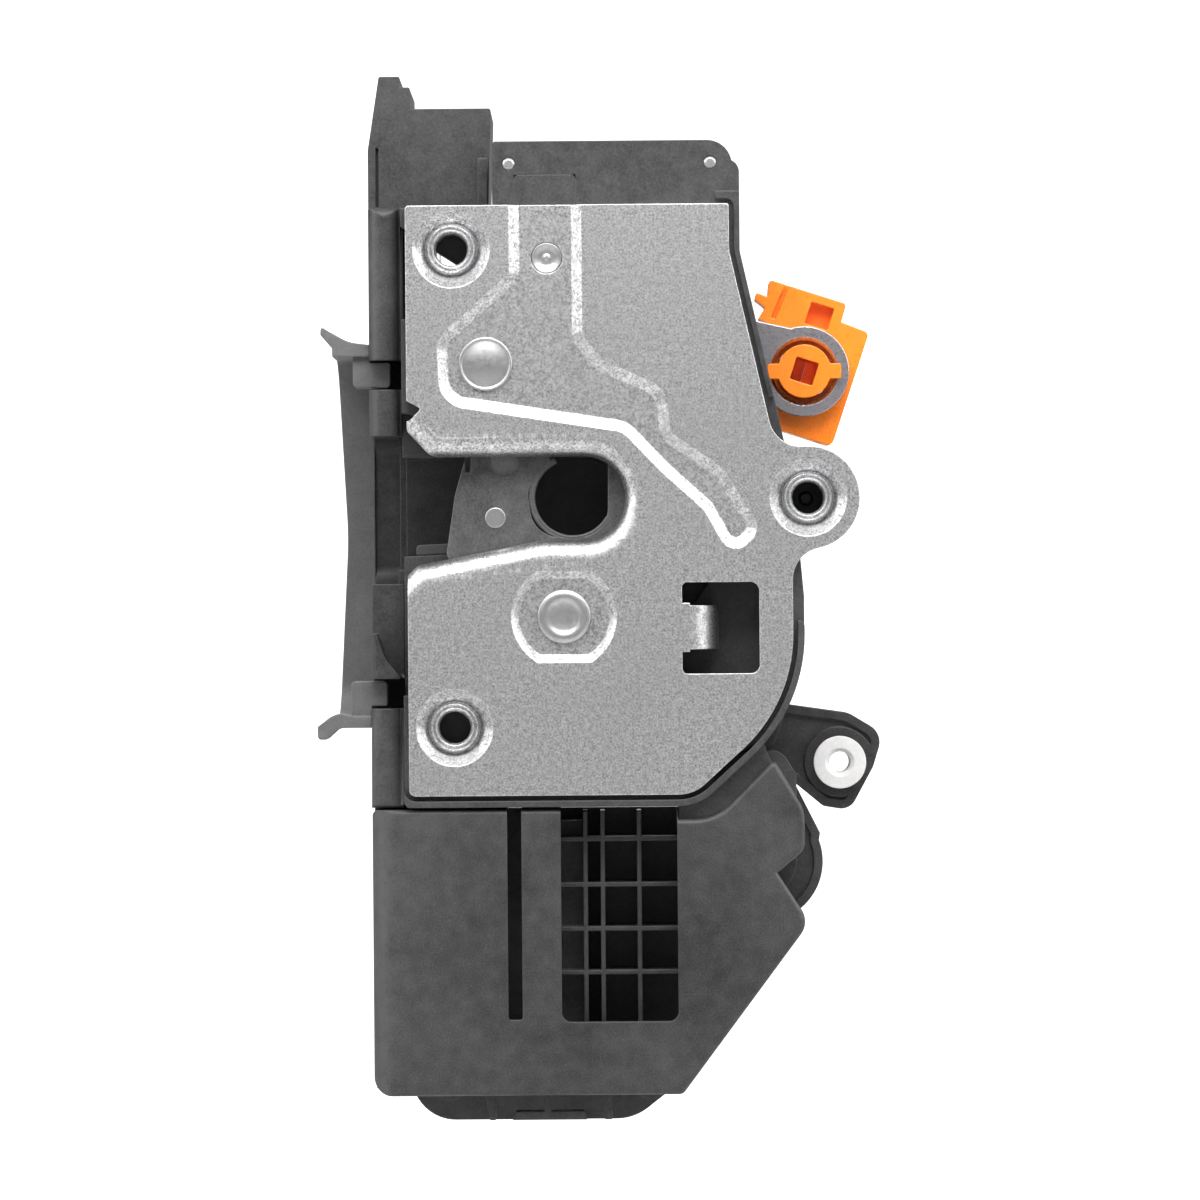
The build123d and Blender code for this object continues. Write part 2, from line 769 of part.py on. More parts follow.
with BuildPart() as head_pin_pair:
    for centre in head_pins:
        turned(
            ((0, head_front - 0.3), (head_pin_r - 0.3, head_front - 0.3), (head_pin_r, head_front),
             (head_pin_r, 9.0), (0, 9.0)),
            centre,
        )
head_pin_pair.part.label = "head_pins"
export_step(head_pin_pair.part, "parts/head_pins.step")


# Outside release lever, its pin and its return spring

with BuildPart() as outside_lever:
    arm = hull_of(
        (outside_pivot[0], outside_pivot[1], 6.0),
        (eye_at[0] - 1.0, eye_at[1] + 0.5, eye_r - 1.2),
    )
    tail = hull_of(
        (outside_pivot[0], outside_pivot[1], 5.0),
        (outside_pivot[0] - 9.0, outside_pivot[1] + 2.0, 3.0),
    )
    slab(
        arm + tail + discs(eye_r, eye_at) - discs(eye_bore_r, eye_at)
        - discs(release_pin_r + pivot_gap, outside_pivot),
        release_front,
        release_front + release_t,
    )
    eye_edges = outside_lever.edges().filter_by(GeomType.CIRCLE).filter_by(
        lambda e: abs(e.radius - eye_bore_r) < 0.01
    )
    chamfer(eye_edges, length=0.5)
outside_lever.part.label = "outside_lever"
export_step(outside_lever.part, "parts/outside_lever.step")

with BuildPart() as outside_pin:
    pin_back = release_front + release_t
    turned(
        ((0, housing_back), (release_pin_r - 1, housing_back), (release_pin_r - 1, back_plate_y),
         (release_pin_r + 1, back_plate_y), (release_pin_r + 1, release_front - 0.3),
         (release_pin_r, release_front - 0.3), (release_pin_r, pin_back + 0.3),
         (release_pin_r + 1.6, pin_back + 0.3), (release_pin_r + 1.6, pin_back + 1.5), (0, pin_back + 1.5)),
        outside_pivot,
    )
outside_pin.part.label = "outside_pin"
export_step(outside_pin.part, "parts/outside_pin.step")


# Rod clip: a moulded block on the eye, turning on a barrel that locks it

clip_front = release_front + release_t + 0.3
clip_profile = rounded((
    (-9.6, 12.3, 0.5),
    (3.2, 12.3, 0.6),
    (3.3, 9.3, 0),
    (8.0, 9.0, 0.8),
    (7.8, -9.9, 1.0),
    (-3.5, -9.9, 2.0),
    (-6.6, -4.0, 1.0),
    (-5.8, 5.5, 0.8),
    (-9.4, 5.8, 0.3),
    (-8.9, 7.9, 0.3),
    (-10.8, 8.6, 0.3),
    (-10.9, 9.7, 0.2),
    (-9.0, 9.6, 0),
))
square_hole = rounded((
    (-barrel_square / 2, -barrel_square / 2, 0.3),
    (-barrel_square / 2, barrel_square / 2, 0.3),
    (barrel_square / 2, barrel_square / 2, 0.3),
    (barrel_square / 2, -barrel_square / 2, 0.3),
))

with BuildPart() as rod_clip:
    slab(
        moved(clip_profile, eye_at, clip_tilt) - discs(barrel_r + pivot_gap, eye_at),
        clip_front,
        clip_front + clip_t,
    )
    pane = rounded(((-2.2, 7.4, 0.2), (-2.2, 11.0, 0.2), (1.6, 11.0, 0.2), (1.6, 7.4, 0.2)))
    slab(moved(pane, eye_at, clip_tilt), clip_front, clip_front + 2.5, mode=Mode.SUBTRACT)
    rib = rounded(((-7.6, 6.6, 0), (-7.0, 12.6, 0), (-6.2, 12.6, 0), (-6.8, 6.6, 0)))
    slab(moved(rib, eye_at, clip_tilt), clip_front, clip_front + 0.8, mode=Mode.SUBTRACT)
    lean = radians(clip_tilt)
    groove_x, groove_z = 5.4, 12.0
    groove_foot = (
        eye_at[0] + groove_x * cos(lean) - groove_z * sin(lean),
        eye_at[1] + groove_x * sin(lean) + groove_z * cos(lean),
    )
    groove_plane = Plane(
        origin=(groove_foot[0], clip_front + clip_t - 2.4, groove_foot[1]),
        x_dir=(cos(lean), 0, sin(lean)),
        z_dir=(sin(lean), 0, -cos(lean)),
    )
    with BuildSketch(groove_plane):
        Circle(1.3)
    extrude(amount=30, mode=Mode.SUBTRACT)
rod_clip.part.label = "rod_clip"
export_step(rod_clip.part, "parts/rod_clip.step")

with BuildPart() as clip_barrel:
    barrel_front = release_front - 1.6
    slab(
        discs(barrel_r, eye_at) - moved(square_hole, eye_at, clip_tilt),
        barrel_front,
        clip_front + clip_t + 0.6,
    )
    wings = rounded((
        (-eye_bore_r - 0.9, -1.2, 0.4),
        (-eye_bore_r - 0.9, 1.2, 0.4),
        (eye_bore_r + 0.9, 1.2, 0.4),
        (eye_bore_r + 0.9, -1.2, 0.4),
    )) - discs(barrel_r - 0.2, (0, 0))
    slab(moved(wings, eye_at), barrel_front, release_front - 0.3)
clip_barrel.part.label = "clip_barrel"
export_step(clip_barrel.part, "parts/clip_barrel.step")


# Front cover: slot and window open to its top edge, with walls back to the case

cover_outline = rounded((
    (cover_left, cover_top, 1.0),
    (cover_left, cover_bottom, 3.0),
    (35.0, cover_bottom, 1.2),
    (54.9, -30.6, 3.4),
    (49.9, -22.9, 0),
    (54.2, -19.3, 2.4),
    (54.2, -13.2, 5.0),
    (49.4, -5.2, 0.8),
    (48.6, -6.2, 0.6),
    (40.4, -14.5, 8.0),
    (pane_right + 0.1, -14.5, 0.3),
    (pane_right + 0.1, cover_top, 0.3),
))
slot_outline = rounded((
    (slot_left, cover_top + 1, 0),
    (slot_left, slot_bottom, 0.4),
    (slot_right, slot_bottom, 0.4),
    (slot_right, cover_top + 1, 0),
))
pane_outline = rounded((
    (pane_left, cover_top + 1, 0),
    (pane_left, pane_bottom, pane_r),
    (pane_right, pane_bottom, pane_r),
    (pane_right, cover_top + 1, 0),
))

with BuildPart() as front_cover:
    cover_inner = grown(cover_outline, -cover_wall_t)
    slab(cover_outline, cover_front, cover_back)
    cover_edges = front_cover.edges().filter_by_position(Axis.Y, cover_front - 0.01, cover_front + 0.01)
    fillet(cover_edges, radius=0.8)
    slab(cover_inner, cover_front + cover_t, cover_back, mode=Mode.SUBTRACT)
    slab(slot_outline, 0, cover_back, mode=Mode.SUBTRACT)
    slab(pane_outline, 0, cover_back, mode=Mode.SUBTRACT)
    lever_side = rounded(((36.0, -50.0, 0), (36.0, 0, 0), (60.0, 0, 0), (60.0, -50.0, 0)))
    slab(lever_side, cover_lever_back, cover_back, mode=Mode.SUBTRACT)
    slab(discs(cover_boss_r, lock_at), cover_front + cover_t, lock_front - 0.3)
    ledge_zone = rounded(((34.6, -17.0, 0), (34.6, -3.0, 0), (53.0, -3.0, 0), (53.0, -17.0, 0)))
    ledge = (grown(cover_outline, ledge_w) & ledge_zone) - grown(housing_outline, 0.25) - cover_inner
    slab(ledge, cover_front + ledge_step, cover_front + ledge_step + 2.5)
    prongs = (
        rounded(((4.0, cover_bottom + 1, 0), (5.4, cover_bottom + 1, 0),
                 (6.0, cover_bottom - 4.0, 0.3), (4.9, cover_bottom - 4.0, 0.3)))
        + rounded(((22.4, cover_bottom + 1, 0), (23.6, cover_bottom + 1, 0),
                   (24.1, cover_bottom - 4.0, 0.3), (22.8, cover_bottom - 4.0, 0.3)))
        + rounded(((13.4, cover_bottom + 1, 0), (14.5, cover_bottom + 1, 0),
                   (14.5, cover_bottom - 2.7, 0), (19.7, cover_bottom - 2.7, 0.2),
                   (20.2, cover_bottom - 4.0, 0.2), (8.3, cover_bottom - 4.0, 0.2),
                   (9.1, cover_bottom - 2.7, 0.2), (13.4, cover_bottom - 2.7, 0)))
    )
    slab(prongs, 4.0, 8.0)
front_cover.part.label = "front_cover"
export_step(front_cover.part, "parts/front_cover.step")


# Actuator case: front wall with the rib lattice, deep belly, open to the back

case_outline = rounded((
    (case_left, cover_top - 0.2, 1.0),
    (case_left, cover_bottom + 0.6, 3.0),
    (35.0, cover_bottom + 0.6, 2.0),
    (53.6, -32.0, 3.0),
    (53.6, cover_top - 0.2, 3.0),
)) + discs(lock_disc_r - 0.6, lock_at)
belly_outline = rounded((
    (case_left, -44.0, 0),
    (case_left, case_belly_bottom, 7.0),
    (27.5, case_belly_bottom, 8.0),
    (38.0, -54.0, 3.0),
    (44.0, -44.0, 0),
))

with BuildPart() as actuator_case:
    slab(case_outline, case_front, case_back)
    slab(belly_outline, case_belly_front, case_back)
    slab(
        grown(case_outline, -case_wall_t),
        case_front + case_wall_t,
        case_back,
        mode=Mode.SUBTRACT,
    )
    slab(
        grown(belly_outline, -case_wall_t),
        case_belly_front + case_wall_t,
        case_back,
        mode=Mode.SUBTRACT,
    )
    slab(discs(boss_r, *case_bosses), case_front + 0.5, case_back)
    slab(discs(boss_bore_r, *case_bosses), case_back - 10.0, case_back, mode=Mode.SUBTRACT)
    slab(discs(2 * axle_r, wheel_at), case_front + 0.5, gear_front - 0.3)
    slab(discs(axle_r + pivot_gap, wheel_at), case_front + 0.5, gear_front, mode=Mode.SUBTRACT)
    lattice_left = pane_left - 1.5
    lattice_right = pane_right + 1.5
    lattice_low = pane_bottom - 1.5
    for x in rib_x:
        slab(rounded(((x - rib_t / 2, lattice_low, 0), (x - rib_t / 2, cover_top - 0.5, 0),
                      (x + rib_t / 2, cover_top - 0.5, 0), (x + rib_t / 2, lattice_low, 0))),
             rib_front, case_front + 0.5)
    for z in rib_z:
        slab(rounded(((lattice_left, z - rib_t / 2, 0), (lattice_left, z + rib_t / 2, 0),
                      (lattice_right, z + rib_t / 2, 0), (lattice_right, z - rib_t / 2, 0))),
             rib_front, case_front + 0.5)
    strip_top = cover_top - cover_wall_t - 0.3
    slab(rounded(((lattice_left, lattice_low, 0), (lattice_left, strip_top, 0),
                  (rib_x[0], strip_top, 0), (rib_x[0], lattice_low, 0))),
         rib_front + 4.0, case_front + 0.5)
    slab(discs(lock_shaft_r + pivot_gap, lock_at), 0, case_back, mode=Mode.SUBTRACT)
actuator_case.part.label = "actuator_case"
export_step(actuator_case.part, "parts/actuator_case.step")

with BuildPart() as case_lid:
    slab(case_outline + belly_outline, case_back, case_back + case_lid_t)
    slab(discs(motor_r + 1.2, motor_at), case_back + case_lid_t, case_back + case_lid_t + 1.2)
    slab(discs(boss_bore_r + 0.3, *case_bosses), case_back, case_back + case_lid_t, mode=Mode.SUBTRACT)
    slab(discs(axle_r + pivot_gap, wheel_at), case_back, case_back + 1.0, mode=Mode.SUBTRACT)
case_lid.part.label = "case_lid"
export_step(case_lid.part, "parts/case_lid.step")


# Lock lever: hub disc, neck and head in one moulding, with its shaft into the case

bx, bz = bush_at
lx, lz = lock_at
lever_head = rounded((
    (bx - 9.4, bz + 9.3, 1.0),
    (bx + 1.5, bz + 7.7, 4.0),
    (bx + 6.9, bz + 4.4, 3.0),
    (bx + 5.3, bz - 0.8, 2.0),
    (bx + 1.6, bz - 7.6, 2.5),
    (bx - 2.6, bz - 6.9, 1.5),
    (bx - 7.4, bz - 2.9, 0.4),
    (bx - 12.0, bz + 2.0, 1.0),
))
lever_neck = rounded((
    (bx - 11.6, bz + 5.0, 1.0),
    (bx - 6.8, bz - 3.7, 0.3),
    (lx + 9.2, lz + 4.4, 0),
    (lx + 8.0, lz - 3.0, 0),
    (lx - 7.5, lz - 4.0, 0),
    (lx - 8.5, lz + 4.4, 0),
))
lever_profile = lever_head + lever_neck + discs(lock_disc_r, lock_at)

with BuildPart() as lock_lever:
    slab(lever_profile, lock_front, lock_front + lock_t)
    slab(discs(bush_r - 0.9, bush_at), bush_front + 1.0, bush_back - 1.0)
    slab(discs(bush_r - 1.2, bush_at), bush_front, bush_back, mode=Mode.SUBTRACT)
    slab(grown(lever_profile, -1.4) - discs(bush_r + 1.4, bush_at) - discs(lock_shaft_r + 2.0, lock_at),
         lock_front, lock_front + 0.6, mode=Mode.SUBTRACT)
    slab(discs(lock_shaft_r, lock_at), lock_front, wheel_front - 0.6)
lock_lever.part.label = "lock_lever"
export_step(lock_lever.part, "parts/lock_lever.step")

with BuildPart() as lock_bushing:
    inner_r = bush_r - 1.2 - 0.02
    turned(
        ((bush_bore_r, bush_front + 0.6), (bush_bore_r + 0.6, bush_front), (bush_r, bush_front),
         (bush_r, bush_front + 0.8), (inner_r, bush_front + 0.98), (inner_r, bush_back - 0.98),
         (bush_r - 0.3, bush_back - 0.8), (bush_r - 0.6, bush_back), (bush_bore_r, bush_back)),
        bush_at,
    )
lock_bushing.part.label = "lock_bushing"
export_step(lock_bushing.part, "parts/lock_bushing.step")


# Gear train: sector on the lock lever's shaft, stepped wheel on its axle, motor pinion

sector_first = 180 + gear_bearing - 2 * 360 / wheel_teeth
half_pinion_step = 180 / pinion_teeth

with BuildPart() as lock_sector:
    sector_profile = toothed(wheel_teeth, gear_module, sector_first, backlash, 90) + discs(5.6, (0, 0))
    slab(
        moved(sector_profile - discs(lock_shaft_r + 0.02, (0, 0)), lock_at),
        gear_front,
        wheel_front - 0.6,
    )
lock_sector.part.label = "lock_sector"
export_step(lock_sector.part, "parts/lock_sector.step")

with BuildPart() as drive_wheel:
    slab(moved(toothed(pinion_teeth, gear_module, gear_bearing + half_pinion_step, backlash), wheel_at),
         gear_front, wheel_front)
    slab(moved(toothed(wheel_teeth, gear_module, 180 + motor_bearing, backlash), wheel_at),
         wheel_front, wheel_front + gear_t)
    slab(discs(axle_r + pivot_gap, wheel_at), 0, case_back, mode=Mode.SUBTRACT)
drive_wheel.part.label = "drive_wheel"
export_step(drive_wheel.part, "parts/drive_wheel.step")

with BuildPart() as wheel_axle:
    slab(discs(axle_r, wheel_at), case_front + 0.5, case_back + 1.0)
wheel_axle.part.label = "wheel_axle"
export_step(wheel_axle.part, "parts/wheel_axle.step")

with BuildPart() as motor_pinion:
    slab(moved(toothed(pinion_teeth, gear_module, motor_bearing + half_pinion_step, backlash), motor_at),
         wheel_front, wheel_front + gear_t)
    slab(discs(motor_shaft_r, motor_at), wheel_front, wheel_front + gear_t + 6.0)
motor_pinion.part.label = "motor_pinion"
export_step(motor_pinion.part, "parts/motor_pinion.step")

with BuildPart() as lock_motor:
    can = discs(motor_r, motor_at) & moved(
        rounded(((-motor_r - 1, -motor_flat, 0), (-motor_r - 1, motor_flat, 0),
                 (motor_r + 1, motor_flat, 0), (motor_r + 1, -motor_flat, 0))),
        motor_at,
    )
    motor_front = wheel_front + gear_t + 1.6
    slab(can, motor_front, case_back - 0.25)
    slab(discs(3.0, motor_at), wheel_front + gear_t + 0.5, motor_front)
    slab(discs(motor_shaft_r + pivot_gap, motor_at), 0, wheel_front + gear_t + 6.5, mode=Mode.SUBTRACT)
lock_motor.part.label = "lock_motor"
export_step(lock_motor.part, "parts/lock_motor.step")


# Side case: a flat tray down the side face, notched round the mouth, with its lid

column_right = housing_left - 0.1
side_outline = rounded((
    (side_front, plate_bottom - housing_edge, 0.5),
    (cover_back + 0.4, plate_bottom - housing_edge, 0),
    (cover_back + 0.4, side_bottom, 1.0),
    (side_back - 6, side_bottom, 6.0),
    (side_back, side_bottom + 20, 8.0),
    (side_back, side_top - 28, 10.0),
    (side_back - 14, side_top, 8.0),
    (side_front, side_top, 1.5),
))
wide_outline = rounded((
    (housing_back + 4.0, cover_top + 3.0, 2.0),
    (case_back + 3.0, cover_top + 3.0, 2.0),
    (case_back + 3.0, side_bottom, 2.0),
    (side_back - 6, side_bottom, 6.0),
    (side_back, side_bottom + 20, 8.0),
    (side_back, side_top - 28, 10.0),
    (side_back - 14, side_top, 8.0),
    (housing_back + 4.0, side_top, 2.0),
    (housing_back + 4.0, mouth_gap_top + 1.5, 2.0),
    (mouth_gap_back + 1.5, mouth_gap_top + 1.5, 2.0),
    (mouth_gap_back + 1.5, mouth_gap_bottom - 1.5, 2.0),
    (housing_back + 4.0, mouth_gap_bottom - 1.5, 2.0),
))
mouth_gap = rounded((
    (0, mouth_gap_bottom, 0),
    (0, mouth_gap_top, 0),
    (mouth_gap_back, mouth_gap_top, 3.0),
    (mouth_gap_back, mouth_gap_bottom, 3.0),
))
claw_room = rounded(((0, 7.4, 0), (0, mouth_gap_bottom + 1, 0),
                     (claw_room_back, mouth_gap_bottom + 1, 0), (claw_room_back, 7.4, 1.0)))
clip_notches = (
    rounded(((0, 52.6, 0), (0, 57.2, 0), (17.0, 57.2, 0.5), (17.0, 52.6, 0.5)))
    + rounded(((0, 3.0, 0), (0, 7.6, 0), (17.0, 7.6, 0.5), (17.0, 3.0, 0.5)))
)

with BuildPart() as side_case:
    side_slab(side_outline, side_left, column_right)
    side_slab(wide_outline, column_right, side_right - side_lid_t)
    side_slab(mouth_gap, side_left, side_right, mode=Mode.SUBTRACT)
    side_slab(claw_room, side_left, side_right, mode=Mode.SUBTRACT)
    side_slab(clip_notches, side_left, side_right, mode=Mode.SUBTRACT)
    side_slab(grown(wide_outline, -wall_t), side_left + wall_t, side_right, mode=Mode.SUBTRACT)
    fin = rounded((
        (side_left, 6.0, 0),
        (side_left, 14.6, 0),
        (side_left + 0.9, 14.6, 0.3),
        (side_left + 2.2, 10.8, 3.0),
        (column_right, 7.4, 0),
        (column_right, 6.0, 0),
    ))
    slab(fin, 4.0, claw_room_back)
    side_slab(clip_notches, side_left, side_right, mode=Mode.SUBTRACT)
side_case.part.label = "side_case"
export_step(side_case.part, "parts/side_case.step")

with BuildPart() as side_lid:
    side_slab(wide_outline, side_right - side_lid_t, side_right)
    # Bracket with a slot for the cable's end, in line with the eye of the inside lever
    bracket_mid = (cable_eye[0], bracket_z)
    side_slab(moved(block_outline(bracket_w, bracket_tall), bracket_mid), side_right, side_right + 9.0)
    side_slab(
        moved(block_outline(2 * cable_r - 0.8, bracket_tall), bracket_mid),
        side_right + cable_stand,
        side_right + 9.0,
        mode=Mode.SUBTRACT,
    )
    side_slab(
        moved(block_outline(bracket_w, bracket_tall - 6.0), bracket_mid),
        side_right + 2.0,
        side_right + 9.0,
        mode=Mode.SUBTRACT,
    )
side_lid.part.label = "side_lid"
export_step(side_lid.part, "parts/side_lid.step")

with BuildPart() as lead_frame:
    board = rounded((
        (40.0, 10.0, 2.0),
        (40.0, 76.0, 2.0),
        (60.0, 76.0, 2.0),
        (74.0, 50.0, 4.0),
        (74.0, -30.0, 2.0),
        (54.0, -30.0, 2.0),
        (54.0, 10.0, 2.0),
    ))
    side_slab(board, side_left + wall_t, side_left + wall_t + 1.2)
lead_frame.part.label = "lead_frame"
export_step(lead_frame.part, "parts/lead_frame.step")


# Connector shroud on top of the side case, its socket facing up

shroud_outline = rounded((
    (side_left - 0.3, plug_bottom, 0.4),
    (side_left - 0.3, 90.6, 0),
    (-11.5, plug_tall, 0.3),
    (-8.2, plug_tall, 0.3),
    (-8.2, plug_top + 3.4, 0),
    (plug_left, plug_top + 3.4, 0.3),
    (plug_left, plug_top, 0),
    (plug_right, plug_top, 0.4),
    (plug_right - 0.5, plug_bottom, 0.4),
))

with BuildPart() as connector_shroud:
    slab(shroud_outline, plug_front, plug_back)
    with BuildSketch(Plane.XY.offset(plug_top)):
        with Locations(((plug_left + plug_right) / 2 + 0.2, (plug_front + plug_back) / 2)):
            RectangleRounded(plug_right - plug_left - 2 * plug_wall_t, plug_back - plug_front - 2 * plug_wall_t, 1.0)
    extrude(amount=-(plug_top - plug_bottom - 3.0), mode=Mode.SUBTRACT)
    groove = rounded(((side_left + 0.9, plug_bottom + 0.4, 0), (side_left + 0.9, 91.0, 0),
                      (side_left + 1.4, 91.0, 0), (side_left + 1.4, plug_bottom + 0.4, 0)))
    slab(groove, plug_front, plug_front + 1.0, mode=Mode.SUBTRACT)
    rib_right = rounded(((4.0, plug_bottom + 0.6, 0), (4.0, 89.2, 0), (5.5, 89.2, 0), (5.5, plug_bottom + 0.6, 0)))
    slab(rib_right, plug_front - 0.8, plug_front)
connector_shroud.part.label = "connector_shroud"
export_step(connector_shroud.part, "parts/connector_shroud.step")

with BuildPart() as connector_pins:
    with BuildSketch(Plane.XY.offset(plug_bottom + 3.0)):
        with Locations(((plug_left + plug_right) / 2 + 0.2, (plug_front + plug_back) / 2)):
            with GridLocations(3.6, 4.4, 2, 5):
                Rectangle(0.8, 1.6)
    extrude(amount=6.0)
connector_pins.part.label = "connector_pins"
export_step(connector_pins.part, "parts/connector_pins.step")


# Inside release lever on the side lid, turning about X

with BuildPart() as inside_lever:
    inside_outline = (
        hull_of((*inside_at, 6.0), (*push_tip, 3.0))
        + hull_of((*inside_at, 6.0), (*cable_eye, 3.4))
    )
    inside_back = side_right + 0.3
    side_slab(
        inside_outline - discs(inside_pin_r + pivot_gap, inside_at),
        inside_back,
        inside_back + inside_t,
    )
    side_slab(discs(3.4, cable_eye), inside_back, inside_back + 8.0)
    side_slab(discs(cable_r, cable_eye), inside_back, inside_back + 8.0, mode=Mode.SUBTRACT)
    cable_slot = rounded((
        (cable_eye[0] - 0.6, cable_eye[1], 0),
        (cable_eye[0] - 0.6, cable_eye[1] + 5, 0),
        (cable_eye[0] + 0.6, cable_eye[1] + 5, 0),
        (cable_eye[0] + 0.6, cable_eye[1], 0),
    ))
    side_slab(cable_slot, inside_back + inside_t, inside_back + 6.5, mode=Mode.SUBTRACT)
inside_lever.part.label = "inside_lever"
export_step(inside_lever.part, "parts/inside_lever.step")

with BuildPart() as inside_pin:
    side_slab(discs(inside_pin_r, inside_at), side_right, side_right + inside_t + 0.6)
    side_slab(discs(4.2, inside_at), side_right + inside_t + 0.6, side_right + inside_t + 1.6)
inside_pin.part.label = "inside_pin"
export_step(inside_pin.part, "parts/inside_pin.step")


# Rubber seal round the mouth, on the outer face of the side case

seal_band = rounded((
    (seal_front, seal_top, 0),
    (seal_back, seal_top, 7.0),
    (seal_back, seal_bottom, 7.0),
    (seal_front, seal_bottom, 0),
    (seal_front, seal_bottom + seal_t, 0),
    (seal_back - seal_t, seal_bottom + seal_t, 5.2),
    (seal_back - seal_t, seal_top - seal_t, 5.2),
    (seal_front, seal_top - seal_t, 0),
))
seal_face = rounded((
    (side_left, seal_top + 4, 0),
    (side_left - seal_stand - 0.6, seal_top + 4, 0),
    (side_left - seal_stand - 0.6, seal_top - 1.0, 0),
    (side_left - seal_stand + 0.9, (seal_top + seal_bottom) / 2, 60.0),
    (side_left - seal_stand - 0.6, seal_bottom + 1.0, 0),
    (side_left - seal_stand - 0.6, seal_bottom - 4, 0),
    (side_left, seal_bottom - 4, 0),
))

with BuildPart() as mouth_seal:
    side_slab(seal_band, side_left - seal_stand - 2, side_left)
    slab(seal_face, seal_front, seal_back + 1, mode=Mode.INTERSECT)
    top_horn = rounded((
        (side_left, seal_top, 0),
        (side_left - 3.2, seal_top + 0.4, 6.0),
        (-19.4, seal_top + 2.2, 0),
        (-20.5, seal_top + 2.9, 0.3),
        (-20.6, seal_top + 1.6, 0.5),
        (side_left - seal_stand, seal_top - 1.2, 3.0),
        (side_left - 3.0, seal_top - seal_t, 0),
        (side_left, seal_top - seal_t, 0),
    ))
    low_horn = rounded((
        (side_left, seal_bottom, 0),
        (side_left - 5.0, seal_bottom, 2.0),
        (-20.0, seal_bottom - 1.8, 0.8),
        (-21.4, seal_bottom - 1.8, 0.5),
        (-21.5, seal_bottom + 0.2, 0.4),
        (-18.6, seal_bottom + 2.4, 3.0),
        (side_left - 3.0, seal_bottom + seal_t, 0),
        (side_left, seal_bottom + seal_t, 0),
    ))
    slab(top_horn + low_horn, seal_front, seal_front + 8.0)
    clip_y = 16.6
    clip_blocks = (
        rounded(((-15.6, 53.2, 0.6), (-15.6, seal_top - seal_t, 0), (side_left, seal_top - seal_t, 0),
                 (side_left, 56.9, 0), (-9.8, 56.9, 0.3), (-9.8, 53.0, 0.6)))
        + rounded(((-16.2, 7.2, 0.6), (-10.6, 7.2, 0.6), (-10.6, 3.4, 0.3), (side_left, 3.4, 0),
                   (side_left, seal_bottom + seal_t, 0), (-16.2, seal_bottom + seal_t, 0)))
    )
    slab(clip_blocks, seal_front + 1.0, clip_y)
mouth_seal.part.label = "mouth_seal"
export_step(mouth_seal.part, "parts/mouth_seal.step")


# Springs

spring_front = latch_floor + 1.65
coil("fork_spring", fork_at, spring_coil_r, 0.9, spring_front, 3)
coil("pawl_spring", pawl_at, spring_coil_r, 0.9, spring_front, 3)
coil("outside_spring", outside_pivot, release_pin_r + 2.0, 0.7, back_plate_y + 0.1, 0.75)


# Switch that reports the fork bolt

with BuildPart() as ajar_switch:
    slab(switch_outline, switch_front, latch_back + 0.6)
ajar_switch.part.label = "ajar_switch"
export_step(ajar_switch.part, "parts/ajar_switch.step")
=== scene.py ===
import json
from math import acos, atan2, cos, hypot, pi, radians, sin, sqrt

import bmesh
import bpy
from bpy.props import FloatProperty, FloatVectorProperty, PointerProperty
from mathutils import Matrix, Vector


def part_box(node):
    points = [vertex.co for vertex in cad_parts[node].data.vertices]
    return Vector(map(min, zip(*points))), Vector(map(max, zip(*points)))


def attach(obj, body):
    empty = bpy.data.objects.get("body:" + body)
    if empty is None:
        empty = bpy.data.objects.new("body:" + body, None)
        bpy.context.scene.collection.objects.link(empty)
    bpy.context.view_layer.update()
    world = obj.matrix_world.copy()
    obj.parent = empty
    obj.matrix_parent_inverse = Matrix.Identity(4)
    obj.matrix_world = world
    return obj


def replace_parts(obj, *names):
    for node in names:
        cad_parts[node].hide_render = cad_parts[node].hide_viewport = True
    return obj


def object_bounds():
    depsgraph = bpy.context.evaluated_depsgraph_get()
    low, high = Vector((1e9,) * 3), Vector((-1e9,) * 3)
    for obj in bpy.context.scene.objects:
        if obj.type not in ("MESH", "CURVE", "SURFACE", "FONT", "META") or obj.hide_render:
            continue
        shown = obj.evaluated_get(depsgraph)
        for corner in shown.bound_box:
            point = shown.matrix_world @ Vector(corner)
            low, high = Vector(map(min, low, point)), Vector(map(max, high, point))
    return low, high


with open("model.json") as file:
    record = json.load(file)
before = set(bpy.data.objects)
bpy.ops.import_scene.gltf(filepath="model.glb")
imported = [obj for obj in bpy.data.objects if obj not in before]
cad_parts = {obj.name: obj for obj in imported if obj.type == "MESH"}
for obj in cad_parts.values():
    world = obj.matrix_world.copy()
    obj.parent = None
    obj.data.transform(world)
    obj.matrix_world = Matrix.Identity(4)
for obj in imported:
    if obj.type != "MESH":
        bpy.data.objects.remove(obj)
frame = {"nodes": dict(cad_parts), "record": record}

bl_info = {
    "name": "Door Latch Actuator",
    "version": (1, 0, 0),
    "blender": (4, 5, 0),
    "location": "3D View > Sidebar > Latch",
    "description": "Finishes, stampings, rivets, springs, screws and stage of a door latch",
    "category": "Object",
}

MM = 0.001
CAD_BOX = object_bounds()
NODES = frame["nodes"]

# Middle of the photograph on the front of the face plate, (x, z) in millimetres
PHOTO_CENTRE = (22.69, 19.65)


def colour_prop(name, description, default):
    """Colour setting for one finish."""
    return FloatVectorProperty(
        name=name, description=description, subtype="COLOR", size=3, min=0.0, max=1.0, default=default
    )


